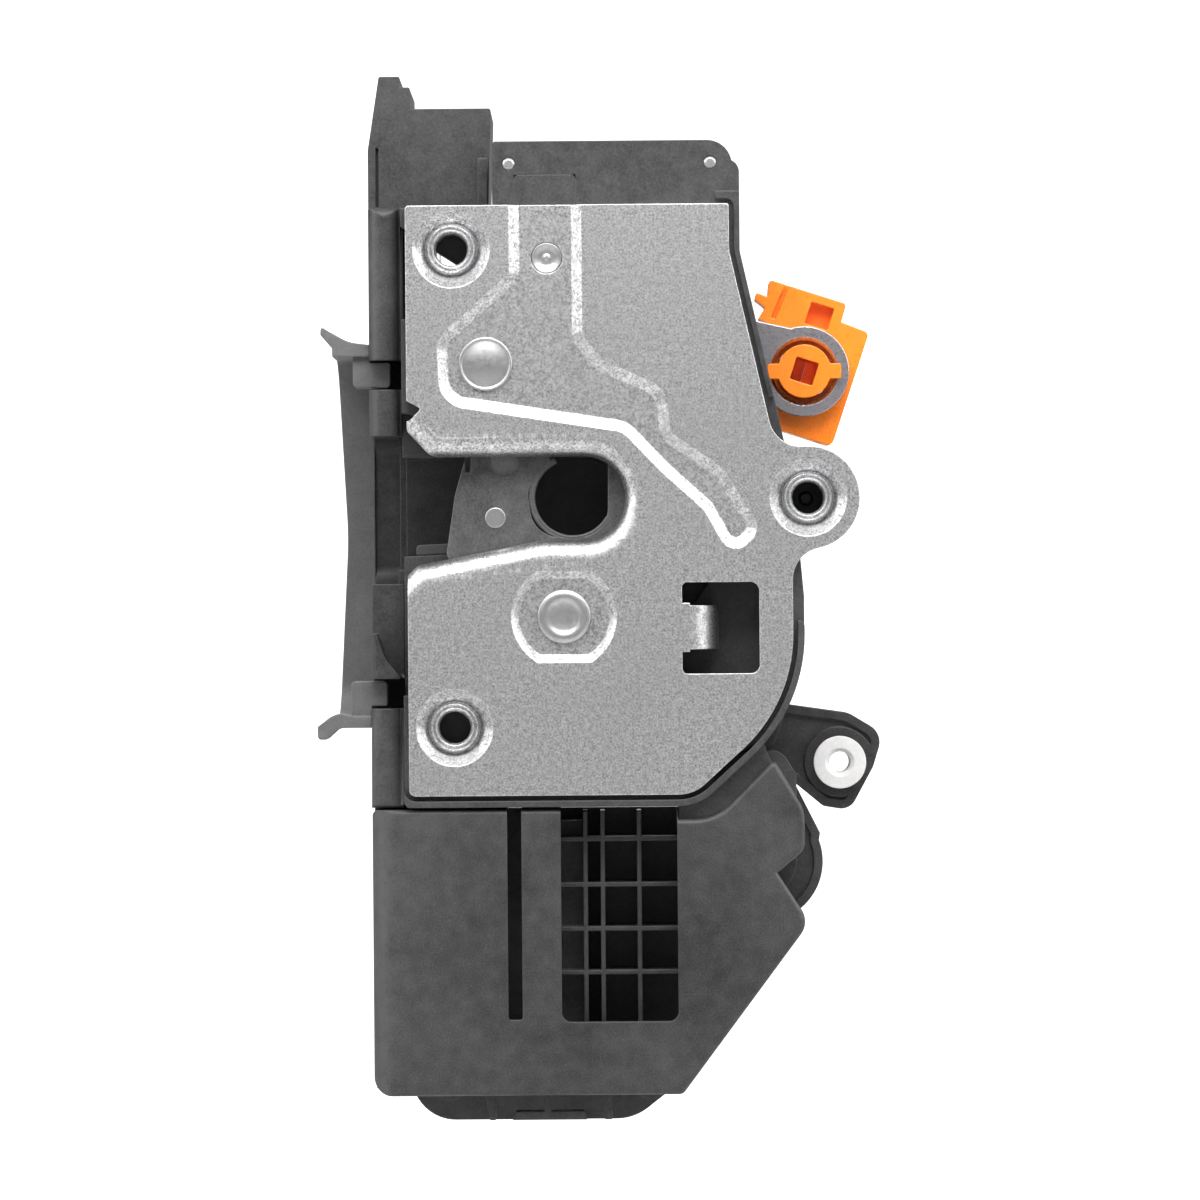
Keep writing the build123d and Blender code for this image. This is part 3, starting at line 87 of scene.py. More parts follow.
class LatchSizes(bpy.types.PropertyGroup):
    """Sizes of the stage and of the dressed pieces."""

    camera_distance: FloatProperty(
        name="Camera distance", description="From the camera to the front of the face plate",
        default=1.1, min=0.3, unit="LENGTH",
    )
    frame_width: FloatProperty(
        name="Frame width", description="Width seen by the camera at the face plate",
        default=0.186, min=0.05, unit="LENGTH",
    )
    camera_roll: FloatProperty(
        name="Camera roll", description="Tilt of the camera, clockwise",
        default=radians(0.45), subtype="ANGLE",
    )
    floor_drop: FloatProperty(
        name="Floor drop", description="Height of the part above the floor",
        default=0.12, min=0.0, unit="LENGTH",
    )
    edge_round: FloatProperty(
        name="Edge rounding", description="Radius that moulded edges catch the light with",
        default=0.3 * MM, min=0.0, unit="LENGTH",
    )
    spring_wire: FloatProperty(
        name="Spring wire", description="Thickness of the spring wire",
        default=0.9 * MM, min=0.0002, unit="LENGTH",
    )
    screw_head: FloatProperty(
        name="Screw head", description="Radius of the screw heads, without their washers",
        default=2.6 * MM, min=0.0005, unit="LENGTH",
    )


class LatchColours(bpy.types.PropertyGroup):
    """Colours of the finishes."""

    zinc: colour_prop("Zinc", "Plated steel of the face plate", (0.46, 0.46, 0.465))
    rivet: colour_prop("Rivet", "Rivets and pins", (0.42, 0.42, 0.42))
    lever: colour_prop("Lever", "Plated steel of the release levers", (0.46, 0.44, 0.47))
    hard: colour_prop("Hardened", "Hardened steel of the claw and the pawl", (0.20, 0.20, 0.205))
    black: colour_prop("Black moulding", "Black moulded cases", (0.030, 0.030, 0.031))
    dark: colour_prop("Claw skin", "Plastic skin of the claw", (0.054, 0.054, 0.055))
    rubber: colour_prop("Rubber", "Seal round the mouth", (0.082, 0.082, 0.083))
    orange: colour_prop("Orange", "Rod clip and its barrel", (0.94, 0.22, 0.012))
    natural: colour_prop("Natural", "Unpigmented bushing and gears", (0.56, 0.56, 0.555))
    spring: colour_prop("Spring wire", "Springs of the claw, pawl and lever", (0.34, 0.34, 0.35))
    motor: colour_prop("Motor can", "Steel can of the lock motor", (0.62, 0.62, 0.62))
    pins: colour_prop("Pins", "Tinned brass of the connector pins", (0.80, 0.66, 0.40))
    floor: colour_prop("Floor", "Floor and backdrop", (0.62, 0.62, 0.62))


# Shader helpers


class Tree:
    """Short way to add and join the nodes of one node tree."""

    def __init__(self, tree):
        self.tree = tree

    def add(self, kind, **settings):
        """Add a node of a kind with its settings."""
        node = self.tree.nodes.new(kind)
        for key, value in settings.items():
            setattr(node, key, value)
        return node

    def join(self, source, target):
        """Link an output to an input."""
        self.tree.links.new(source, target)

    def feed(self, value, socket):
        """Give a socket a link, a number or a colour."""
        if isinstance(value, bpy.types.NodeSocket):
            self.join(value, socket)
        elif isinstance(value, (int, float)):
            socket.default_value = value
        else:
            socket.default_value = (*value, 1.0)

    def maths(self, operation, a, b=0.5):
        """Result of a calculation with one or two values."""
        node = self.add("ShaderNodeMath", operation=operation)
        for socket, value in zip(node.inputs, (a, b)):
            self.feed(value, socket)
        return node.outputs[0]

    def remap(self, value, low, high, to_low, to_high):
        """A value moved from one range to another."""
        node = self.add("ShaderNodeMapRange")
        self.join(value, node.inputs["Value"])
        limits = (("From Min", low), ("From Max", high), ("To Min", to_low), ("To Max", to_high))
        for key, limit in limits:
            self.feed(limit, node.inputs[key])
        return node.outputs["Result"]

    def mix(self, factor, a, b):
        """Two colours mixed by a factor."""
        node = self.add("ShaderNodeMix", data_type="RGBA")
        for key, value in (("Factor", factor), ("A", a), ("B", b)):
            self.feed(value, node.inputs[key])
        return node.outputs["Result"]

    def noise(self, place, scale, detail=2.0, roughness=0.5):
        """Cloudy noise over a place."""
        node = self.add("ShaderNodeTexNoise")
        self.join(place, node.inputs["Vector"])
        for key, value in (("Scale", scale), ("Detail", detail), ("Roughness", roughness)):
            self.feed(value, node.inputs[key])
        return node.outputs["Fac"]


def new_group(name, inputs, outputs):
    """Start a shader group from (name, kind, default) inputs and (name, kind) outputs."""
    group = bpy.data.node_groups.new(name, "ShaderNodeTree")
    for label, kind, default in inputs:
        socket = group.interface.new_socket(label, in_out="INPUT", socket_type=kind)
        socket.default_value = default
    for label, kind in outputs:
        group.interface.new_socket(label, in_out="OUTPUT", socket_type=kind)
    tree = Tree(group)
    return tree, tree.add("NodeGroupInput").outputs, tree.add("NodeGroupOutput").inputs


def build_soft_edge(name):
    """Rounded normal at edges, and a mask that is 1 where an edge is."""
    tree, given, result = new_group(
        name,
        (("Radius", "NodeSocketFloat", 0.3 * MM),),
        (("Normal", "NodeSocketVector"), ("Edge", "NodeSocketFloat")),
    )
    bevel = tree.add("ShaderNodeBevel", samples=6)
    tree.join(given["Radius"], bevel.inputs["Radius"])
    facing = tree.add("ShaderNodeNewGeometry").outputs["Normal"]
    dot = tree.add("ShaderNodeVectorMath", operation="DOT_PRODUCT")
    tree.join(bevel.outputs["Normal"], dot.inputs[0])
    tree.join(facing, dot.inputs[1])
    tree.join(bevel.outputs["Normal"], result["Normal"])
    tree.join(tree.remap(dot.outputs["Value"], 0.99, 0.80, 0.0, 1.0), result["Edge"])
    return tree.tree


def build_mould_grain(name):
    """Fine grain of a moulded surface: a tone that drifts, a height, and small light specks."""
    tree, given, result = new_group(
        name,
        (("Scale", "NodeSocketFloat", 3400.0), ("Specks", "NodeSocketFloat", 0.2)),
        (("Tone", "NodeSocketFloat"), ("Height", "NodeSocketFloat"), ("Speck", "NodeSocketFloat")),
    )
    place = tree.add("ShaderNodeTexCoord").outputs["Object"]
    fine = tree.noise(place, given["Scale"], 2.0, 0.6)
    drift = tree.noise(place, 34.0, 3.0, 0.55)
    haze = tree.noise(place, 420.0, 3.0, 0.6)
    soft = tree.maths("ADD", tree.maths("MULTIPLY", drift, 0.4), tree.maths("MULTIPLY", haze, 0.25))
    tone = tree.remap(tree.maths("ADD", soft, tree.maths("MULTIPLY", fine, 0.35)), 0.38, 0.62, 0.0, 1.0)
    cells = tree.add("ShaderNodeTexVoronoi", feature="F1")
    tree.join(place, cells.inputs["Vector"])
    cells.inputs["Scale"].default_value = 900.0
    near = tree.maths("LESS_THAN", cells.outputs["Distance"], 0.11)
    chance = tree.add("ShaderNodeSeparateColor")
    tree.join(cells.outputs["Color"], chance.inputs["Color"])
    chosen = tree.maths("LESS_THAN", chance.outputs["Red"], given["Specks"])
    tree.join(tone, result["Tone"])
    tree.join(fine, result["Height"])
    tree.join(tree.maths("MULTIPLY", near, chosen), result["Speck"])
    return tree.tree


def build_plating(name):
    """Grain of zinc plate: sparkling crystals over soft clouds."""
    tree, given, result = new_group(
        name,
        (("Scale", "NodeSocketFloat", 3200.0),),
        (("Sparkle", "NodeSocketFloat"), ("Cloud", "NodeSocketFloat"), ("Height", "NodeSocketFloat")),
    )
    place = tree.add("ShaderNodeTexCoord").outputs["Object"]
    fine = tree.noise(place, given["Scale"], 3.0, 0.7)
    coarse = tree.noise(place, 1100.0, 2.0, 0.5)
    cloud = tree.noise(place, 60.0, 4.0, 0.6)
    sparkle = tree.maths("ADD", tree.maths("MULTIPLY", fine, 0.75), tree.maths("MULTIPLY", coarse, 0.25))
    tree.join(tree.remap(sparkle, 0.40, 0.60, 0.0, 1.0), result["Sparkle"])
    tree.join(tree.remap(cloud, 0.3, 0.7, 0.0, 1.0), result["Cloud"])
    tree.join(fine, result["Height"])
    return tree.tree


GROUPS = {
    "Soft Edge": build_soft_edge,
    "Mould Grain": build_mould_grain,
    "Plating": build_plating,
}


def place_group(tree, name, **values):
    """Add a shared group, built the first time that it is asked for, with its own values."""
    node = tree.add("ShaderNodeGroup")
    node.node_tree = bpy.data.node_groups.get(name) or GROUPS[name](name)
    for key, value in values.items():
        node.inputs[key].default_value = value
    return node.outputs


def new_material(name):
    """Start a material: the material, its tree and the inputs of its surface shader."""
    material = bpy.data.materials.new(name)
    material.use_nodes = True
    material.node_tree.nodes.clear()
    tree = Tree(material.node_tree)
    shader = tree.add("ShaderNodeBsdfPrincipled")
    output = tree.add("ShaderNodeOutputMaterial")
    tree.join(shader.outputs["BSDF"], output.inputs["Surface"])
    return material, tree, shader.inputs


def bumped(tree, height, normal, strength, distance):
    """Normal with a height over it."""
    bump = tree.add("ShaderNodeBump")
    bump.inputs["Strength"].default_value = strength
    bump.inputs["Distance"].default_value = distance
    tree.join(height, bump.inputs["Height"])
    tree.join(normal, bump.inputs["Normal"])
    return bump.outputs["Normal"]


def shade(colour, factor):
    """A colour made lighter or darker."""
    return tuple(min(1.0, c * factor) for c in colour)


def moulding(name, colour, edge, roughness=0.5, contrast=0.60, specks=0.15, edge_highlight=1.6):
    """Moulded plastic: drifting tone, fine grain, light specks and edges painted lighter as highlights.
    """
    material, tree, shader = new_material(name)
    grain = place_group(tree, "Mould Grain", Specks=specks)
    edges = place_group(tree, "Soft Edge", Radius=edge)
    base = tree.mix(grain["Tone"], shade(colour, 1 - contrast), shade(colour, 1 + contrast))
    # Painted highlight: the edges are lightened towards a lighter copy of the colour
    highlit_edges = tree.mix(tree.maths("MULTIPLY", edges["Edge"], 0.55), base, shade(colour, edge_highlight))
    specked = tree.mix(tree.maths("MULTIPLY", grain["Speck"], 0.4), highlit_edges, shade(colour, 2.6))
    tree.join(specked, shader["Base Color"])
    rough = tree.remap(grain["Tone"], 0.0, 1.0, roughness - 0.07, roughness + 0.07)
    tree.join(rough, shader["Roughness"])
    tree.join(bumped(tree, grain["Height"], edges["Normal"], 0.22, 0.03 * MM), shader["Normal"])
    shader["Specular IOR Level"].default_value = 0.4
    return material


def plated(name, colour, roughness=0.40, sparkle=0.60, scale=3200.0, marks=None):
    """Zinc plated steel: sparkling grain, clouds and edges painted bright as highlights; marks adds
    tooling marks.
    """
    material, tree, shader = new_material(name)
    grain = place_group(tree, "Plating", Scale=scale)
    edges = place_group(tree, "Soft Edge", Radius=0.25 * MM)
    base = tree.mix(grain["Sparkle"], shade(colour, 1 - sparkle), shade(colour, 1 + sparkle))
    clouded = tree.mix(tree.maths("MULTIPLY", grain["Cloud"], 0.3), base, shade(colour, 0.80))
    # Painted highlight: the edges are lightened towards a brighter copy of the colour
    highlit_plating = tree.mix(tree.maths("MULTIPLY", edges["Edge"], 0.6), clouded, shade(colour, 1.45))
    height = grain["Height"]
    if marks:
        highlit_plating, height = marks(tree, highlit_plating, height)
    tree.join(highlit_plating, shader["Base Color"])
    shader["Metallic"].default_value = 1.0
    rough = tree.remap(grain["Sparkle"], 0.0, 1.0, roughness + 0.08, roughness - 0.06)
    tree.join(rough, shader["Roughness"])
    tree.join(bumped(tree, height, edges["Normal"], 0.35, 0.02 * MM), shader["Normal"])
    return material


# Tooling scores of the mouth lip: height above the mouth, then height, start and lean below it
SCORES_ABOVE = 45.2 * MM
SCORES_BELOW = 22.6 * MM
SCORES_START = -4.0 * MM
SCORES_LEAN = 0.125
SCORE_COLOUR = (0.92, 0.92, 0.92)


def lip_marks(tree, colour, height):
    """Short tooling scores where the mouth lip starts to roll, above and below the mouth."""
    place = tree.add("ShaderNodeTexCoord").outputs["Object"]
    split = tree.add("ShaderNodeSeparateXYZ")
    tree.join(place, split.inputs["Vector"])
    squeeze = tree.add("ShaderNodeMapping")
    squeeze.inputs["Scale"].default_value = (1.0, 0.0, 0.02)
    tree.join(place, squeeze.inputs["Vector"])
    ticks = tree.remap(tree.noise(squeeze.outputs["Vector"], 1300.0, 2.0, 0.7), 0.50, 0.62, 0.0, 1.0)
    above = tree.maths("ABSOLUTE", tree.maths("SUBTRACT", split.outputs["Z"], SCORES_ABOVE))
    lean = tree.maths("MULTIPLY", tree.maths("SUBTRACT", split.outputs["X"], SCORES_START), SCORES_LEAN)
    low_line = tree.maths("ADD", lean, SCORES_BELOW)
    below = tree.maths("ABSOLUTE", tree.maths("SUBTRACT", split.outputs["Z"], low_line))
    near = tree.maths("MINIMUM", above, below)
    band = tree.remap(near, 0.55 * MM, 0.15 * MM, 0.0, 1.0)
    inside = tree.maths(
        "MULTIPLY",
        tree.remap(split.outputs["X"], -3.5 * MM, -1.0 * MM, 0.0, 1.0),
        tree.remap(split.outputs["X"], 24.0 * MM, 19.0 * MM, 0.0, 1.0),
    )
    score = tree.maths("MULTIPLY", tree.maths("MULTIPLY", band, inside), ticks)
    marked = tree.mix(tree.maths("MULTIPLY", score, 0.6), colour, SCORE_COLOUR)
    return marked, tree.maths("ADD", height, tree.maths("MULTIPLY", score, 0.8))


def rubbery(name, colour):
    """Matte rubber with a faint bloom, and edges painted lighter as highlights."""
    material, tree, shader = new_material(name)
    grain = place_group(tree, "Mould Grain", Scale=3600.0, Specks=0.05)
    edges = place_group(tree, "Soft Edge", Radius=0.35 * MM)
    base = tree.mix(grain["Tone"], shade(colour, 0.75), shade(colour, 1.25))
    # Painted highlight: the edges are lightened towards a lighter copy of the rubber's colour
    highlit_edges = tree.mix(tree.maths("MULTIPLY", edges["Edge"], 0.4), base, shade(colour, 1.7))
    tree.join(highlit_edges, shader["Base Color"])
    shader["Roughness"].default_value = 0.62
    shader["Sheen Weight"].default_value = 0.15
    tree.join(bumped(tree, grain["Height"], edges["Normal"], 0.25, 0.04 * MM), shader["Normal"])
    return material


def translucent(name, colour, roughness, glow):
    """Unfilled plastic that light enters a little, such as the clip and the bushing; its edges are
    painted lighter as highlights.
    """
    material, tree, shader = new_material(name)
    grain = place_group(tree, "Mould Grain", Scale=2600.0, Specks=0.0)
    edges = place_group(tree, "Soft Edge", Radius=0.3 * MM)
    base = tree.mix(grain["Tone"], shade(colour, 0.90), shade(colour, 1.08))
    # Painted highlight: the edges are lightened towards a lighter copy of the colour
    highlit_edges = tree.mix(tree.maths("MULTIPLY", edges["Edge"], 0.5), base, shade(colour, 1.25))
    tree.join(highlit_edges, shader["Base Color"])
    rough = tree.remap(grain["Tone"], 0.3, 0.7, roughness - 0.05, roughness + 0.05)
    tree.join(rough, shader["Roughness"])
    shader["Subsurface Weight"].default_value = glow
    shader["Subsurface Radius"].default_value = (1.0, 0.5, 0.2)
    shader["Subsurface Scale"].default_value = 0.8 * MM
    tree.join(bumped(tree, grain["Height"], edges["Normal"], 0.12, 0.02 * MM), shader["Normal"])
    return material


def make_finishes(colours, edge):
    """One material for each material slot of the record; edge is the radius of moulded edges."""
    return {
        "plate_steel": plated("Zinc Plate", colours.zinc, marks=lip_marks),
        "rivet_steel": plated("Rivet Steel", colours.rivet, roughness=0.36, sparkle=0.12),
        "hard_steel": plated("Hardened Steel", colours.hard, roughness=0.42, sparkle=0.14),
        "lever_steel": plated("Lever Steel", colours.lever, roughness=0.30, sparkle=0.12, scale=2600.0),
        "spring_steel": plated("Spring Wire", colours.spring, roughness=0.30, sparkle=0.06),
        "motor_steel": plated("Motor Can", colours.motor, roughness=0.30, sparkle=0.05),
        "black_plastic": moulding("Black Moulding", colours.black, edge),
        # The claw skin's edges are painted much lighter, as highlights
        "dark_plastic": moulding("Claw Skin", colours.dark, edge, roughness=0.55, specks=0.2, edge_highlight=3.2),
        "lever_plastic": moulding("Lever Moulding", colours.black, edge, roughness=0.42, specks=0.18),
        "orange_plastic": translucent("Orange Moulding", colours.orange, roughness=0.32, glow=0.25),
        "white_plastic": translucent("Natural Moulding", colours.natural, roughness=0.40, glow=0.3),
        "bumper_rubber": rubbery("Bumper Rubber", shade(colours.rubber, 0.35)),
        "seal_rubber": rubbery("Seal Rubber", colours.rubber),
        "pin_brass": plated("Tinned Pins", colours.pins, roughness=0.28, sparkle=0.08),
    }


FINISHES = {}


# Mesh helpers


# A face is a flat front above this share of its normal, and an edge is sharp above this angle
FLAT_FRONT = 0.9999
CREASE = radians(32)

# Vertices closer than this are one, in millimetres: in finished pieces, and in nodes and lathed forms
FINE_WELD = 1e-4
WELD = 1e-3


def blends(one, other):
    """True where two faces shade as one curve: at a shallow angle, and neither a flat front."""
    if (abs(one.y) > FLAT_FRONT) != (abs(other.y) > FLAT_FRONT):
        return False
    return one.dot(other) > cos(CREASE)


def finish_piece(bm, name, body, slot, smooth=True):
    """Turn a bmesh in millimetres into a piece that rides on a body."""
    bmesh.ops.remove_doubles(bm, verts=bm.verts, dist=FINE_WELD)
    bmesh.ops.recalc_face_normals(bm, faces=bm.faces)
    bm.normal_update()
    for face in bm.faces:
        face.smooth = smooth
    for edge in bm.edges:
        sides = [face.normal for face in edge.link_faces]
        edge.smooth = len(sides) == 2 and blends(*sides)
    bmesh.ops.scale(bm, vec=(MM, MM, MM), verts=bm.verts)
    mesh = bpy.data.meshes.new(name)
    bm.to_mesh(mesh)
    bm.free()
    mesh.materials.append(FINISHES[slot])
    piece = bpy.data.objects.new(name, mesh)
    bpy.context.scene.collection.objects.link(piece)
    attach(piece, body)
    return piece


class LATCH_OT_finishes(bpy.types.Operator):
    """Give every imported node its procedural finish"""

    bl_idname = "latch.finishes"
    bl_label = "Finishes"

    def execute(self, context):
        scene = context.scene
        FINISHES.update(make_finishes(scene.latch_colours, scene.latch_sizes.edge_round))
        for part in frame["record"]["subparts"]:
            mesh = NODES[part["node"]].data
            mesh.materials.clear()
            mesh.materials.append(FINISHES[part["material_slot"]])
        return {"FINISHED"}


def node_copy(node):
    """A CAD node's mesh as a bmesh in millimetres, its loose triangles merged."""
    bm = bmesh.new()
    bm.from_mesh(NODES[node].data)
    bmesh.ops.scale(bm, vec=(1 / MM, 1 / MM, 1 / MM), verts=bm.verts)
    bmesh.ops.remove_doubles(bm, verts=bm.verts, dist=WELD)
    bm.normal_update()
    return bm


def lathe(bm, centre, profile, steps=64):
    """Turn (radius, depth) points about a line into the depth through (x, z)."""
    before = set(bm.verts)
    x, z = centre
    line = [bm.verts.new((x + radius, depth, z)) for radius, depth in profile]
    edges = [bm.edges.new(pair) for pair in zip(line, line[1:])]
    bmesh.ops.spin(
        bm, geom=line + edges, cent=(x, 0, z), axis=(0, 1, 0), angle=2 * pi, steps=steps, use_merge=True
    )
    made = [vert for vert in bm.verts if vert not in before]
    bmesh.ops.remove_doubles(bm, verts=made, dist=WELD)


def add_box(bm, low, high):
    """Add a box between two corners."""
    made = bmesh.ops.create_cube(bm, size=1.0)["verts"]
    bmesh.ops.scale(bm, vec=[b - a for a, b in zip(low, high)], verts=made)
    bmesh.ops.translate(bm, verts=made, vec=[(a + b) / 2 for a, b in zip(low, high)])


# Places seen from the front, (x, z) in millimetres
FORK_AT = (17.1, 17.1)
PAWL_AT = (5.2, 56.4)
STUD_AT = (14.8, 72.8)
THROAT_AT = (18.6, 35.65)
CLAW_PIP_AT = (6.5, 32.6)
CLIP_AT = (55.2, 55.5)
SCREWS = ((0.0, 74.2), (0.0, 0.0), (55.1, 35.3))

# Stamped recesses of the face plate, in millimetres
CHANNEL_DEPTH = 1.1
CHANNEL_SLOPE = 1.7
RECESS_SLOPE = 1.2
RECESS_REACH = 9.0
SLOPE_CUTS = 5
SLACK = 0.02

# Largest share of its normal into the depth that a wall has, and least cosine at a mitred corner
WALL_TILT = 0.05
MITRE_LIMIT = 0.6

# Profiles about a centre on the face plate, as (radius, depth) in millimetres
SEAT_RIM = (
    (2.52, 2.3), (2.56, 1.6), (2.72, 1.28), (3.0, 1.22), (3.16, 1.45), (3.3, 1.45), (3.44, 1.15),
    (3.7, 1.15), (3.86, 1.4), (3.9, 1.9), (3.9, 2.3), (2.52, 2.3),
)
CLAW_RIVET_HEAD = (
    (0.0, 0.62), (1.0, 0.58), (2.0, 0.50), (2.5, 0.36), (2.8, 0.20), (3.3, 0.16), (3.8, 0.24),
    (4.1, 0.42), (4.2, 0.62),
)
PAWL_RIVET_HEAD = (
    (0.0, 0.05), (0.9, 0.09), (1.8, 0.20), (2.7, 0.38), (3.5, 0.60), (3.65, 0.62), (3.8, 0.46),
    (4.0, 0.44), (4.15, 0.56), (4.2, 0.75),
)
RIVET_SHANK = ((4.2, 1.1), (3.5, 1.1), (3.5, 19.0), (4.8, 19.0), (4.3, 20.2), (0.0, 20.2))
STUD = (
    (0.0, 1.42), (0.35, 1.38), (0.6, 1.62), (1.0, 1.68), (1.6, 1.45), (2.0, 1.22), (2.25, 1.16),
    (2.4, 1.28), (2.4, 10.6), (0.0, 10.6),
)
SCREW_CAP = (
    (0.0, 12.4), (0.75, 12.4), (1.0, 12.6), (1.05, 13.4), (3.4, 13.4), (3.4, 10.0), (5.1, 9.9),
    (5.1, 2.3), (6.3, 2.3), (6.4, 2.6), (6.4, 15.2), (6.1, 15.5), (0.0, 15.5),
)


def lean_walls(bm):
    """Lean the upright walls of the stamped recesses outwards, with soft shoulders."""
    def column(vert):
        return round(vert.co.x, 2), round(vert.co.z, 2)

    def shallow(face):
        return abs(face.normal.y) < WALL_TILT and all(
            min(abs(vert.co.y), abs(vert.co.y - CHANNEL_DEPTH)) < SLACK for vert in face.verts
        )

    ways = {}
    for face in bm.faces:
        if shallow(face):
            for vert in face.verts:
                ways.setdefault(column(vert), []).append(face.normal.copy())
    upright = [
        edge for edge in bm.edges
        if column(edge.verts[0]) == column(edge.verts[1]) and column(edge.verts[0]) in ways
        and abs(edge.verts[0].co.y - edge.verts[1].co.y) > CHANNEL_DEPTH * 0.9
        and max(edge.verts[0].co.y, edge.verts[1].co.y) < CHANNEL_DEPTH + SLACK
    ]
    bmesh.ops.subdivide_edges(bm, edges=upright, cuts=SLOPE_CUTS, use_grid_fill=True)
    for vert in bm.verts:
        normals = ways.get(column(vert))
        if normals is None or vert.co.y > CHANNEL_DEPTH - SLACK / 2:
            continue
        other = min(normals, key=normals[0].dot)
        way = (normals[0] + other).normalized()
        near_fork = hypot(vert.co.x - FORK_AT[0], vert.co.z - FORK_AT[1]) < RECESS_REACH
        run = RECESS_SLOPE if near_fork else CHANNEL_SLOPE
        # Half a cosine wave from the floor to the front rounds both shoulders of the slope
        share = 1 - acos(1 - 2 * max(0.0, vert.co.y / CHANNEL_DEPTH)) / pi
        vert.co -= way * (run * share / max(MITRE_LIMIT, way.dot(normals[0])))


class LATCH_OT_face_plate(bpy.types.Operator):
    """Give the face plate the sloping walls of its stamping and the rolled rims of its screw seats"""

    bl_idname = "latch.face_plate"
    bl_label = "Face plate"

    def execute(self, context):
        bm = node_copy("face_plate")
        lean_walls(bm)
        bm.normal_update()
        # The leaned walls widen the recesses, so the front is filled anew up to their shoulders
        front = [
            face for face in bm.faces
            if face.normal.y < -0.99 and all(abs(vert.co.y) < SLACK / 2 for vert in face.verts)
        ]
        bmesh.ops.delete(bm, geom=front, context="FACES")
        rim = [edge for edge in bm.edges if edge.is_boundary]
        bmesh.ops.triangle_fill(bm, edges=rim, use_beauty=True, normal=(0, -1, 0))
        for centre in SCREWS:
            lathe(bm, centre, SEAT_RIM)
        piece = finish_piece(bm, "Stamped_Face_Plate", "latch", "plate_steel")
        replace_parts(piece, "face_plate")
        return {"FINISHED"}


class LATCH_OT_rivets(bpy.types.Operator):
    """Turn the heads of the pivot rivets and the small stud in the channel"""

    bl_idname = "latch.rivets"
    bl_label = "Rivets"

    def execute(self, context):
        for node, name, centre, profile in (
            ("fork_rivet", "Claw_Rivet", FORK_AT, CLAW_RIVET_HEAD + RIVET_SHANK),
            ("pawl_rivet", "Pawl_Rivet", PAWL_AT, PAWL_RIVET_HEAD + RIVET_SHANK),
            ("plate_stud", "Channel_Stud", STUD_AT, STUD),
        ):
            bm = bmesh.new()
            lathe(bm, centre, profile)
            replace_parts(finish_piece(bm, name, "latch", "rivet_steel"), node)
        return {"FINISHED"}


def hold_back(bm, cuts, limit):
    """Cut a shell at several X planes, then keep its front behind a curve over X and Z."""
    for x in cuts:
        whole = bm.verts[:] + bm.edges[:] + bm.faces[:]
        bmesh.ops.bisect_plane(bm, geom=whole, dist=FINE_WELD, plane_co=(x, 0, 0), plane_no=(1, 0, 0))
    for vert in bm.verts:
        vert.co.y = max(vert.co.y, limit(vert.co.x, vert.co.z))


# Round down the cover's left edge, and the half-round column of the side case, in millimetres
COVER_ROUND = 4.5
COVER_CUTS = (0.06, 0.25, 0.6, 1.1, 1.8, 2.6, 3.5, 4.4)
COLUMN_HALF = 2.4
COLUMN_INSET = 0.1
COLUMN_WIDTH = 4.95
COLUMN_FOOT = -11.0
COLUMN_CUTS = (0.15, 0.45, 0.9, 1.5, 2.1, 2.5, 2.9, 3.5, 4.1, 4.5, 4.8)
NO_LIMIT = -1000.0


class LATCH_OT_cases(bpy.types.Operator):
    """Round the left edge of the front cover and the front of the side case's column"""

    bl_idname = "latch.cases"
    bl_label = "Rounded cases"

    def execute(self, context):
        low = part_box("front_cover")[0] / MM

        def cover_front(x, z):
            inward = min(max(low.x + COVER_ROUND - x, 0.0), COVER_ROUND)
            return low.y + COVER_ROUND - sqrt(COVER_ROUND ** 2 - inward ** 2)

        bm = node_copy("front_cover")
        hold_back(bm, [low.x + step for step in COVER_CUTS], cover_front)
        piece = finish_piece(bm, "Front_Cover_Skin", "latch", "black_plastic")
        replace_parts(piece, "front_cover")

        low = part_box("side_case")[0] / MM
        middle = low.x + COLUMN_HALF + COLUMN_INSET

        def column_front(x, z):
            if z < COLUMN_FOOT or x > low.x + COLUMN_WIDTH:
                return NO_LIMIT
            out = min(abs(x - middle), COLUMN_HALF)
            return low.y + COLUMN_HALF - sqrt(COLUMN_HALF ** 2 - out ** 2)

        bm = node_copy("side_case")
        hold_back(bm, [low.x + step for step in COLUMN_CUTS], column_front)
        piece = finish_piece(bm, "Side_Leg_Skin", "latch", "black_plastic")
        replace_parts(piece, "side_case")
        return {"FINISHED"}


# Opening of the side case that the collar closes: front, back, low and high of each bar
COLLAR = ((26.0, 31.5, 22.0, 45.8), (14.0, 31.5, 22.0, 24.6), (17.4, 31.5, 43.9, 45.8))
COLLAR_X = (-8.9, -7.5)

# Ledge between the plate's rim and the front cover, with its corners as (x, z)
LEDGE = ((34.6, -16.4), (34.6, -9.0), (40.0, -6.5), (47.6, -2.2), (49.4, -6.2), (40.8, -16.4))
LEDGE_FRONT = 2.2
LEDGE_DEPTH = 3.8

# Corners of the block behind the head's front wall
FILLER = ((9.8, 2.2, 81.0), (19.4, 3.5, 85.8))


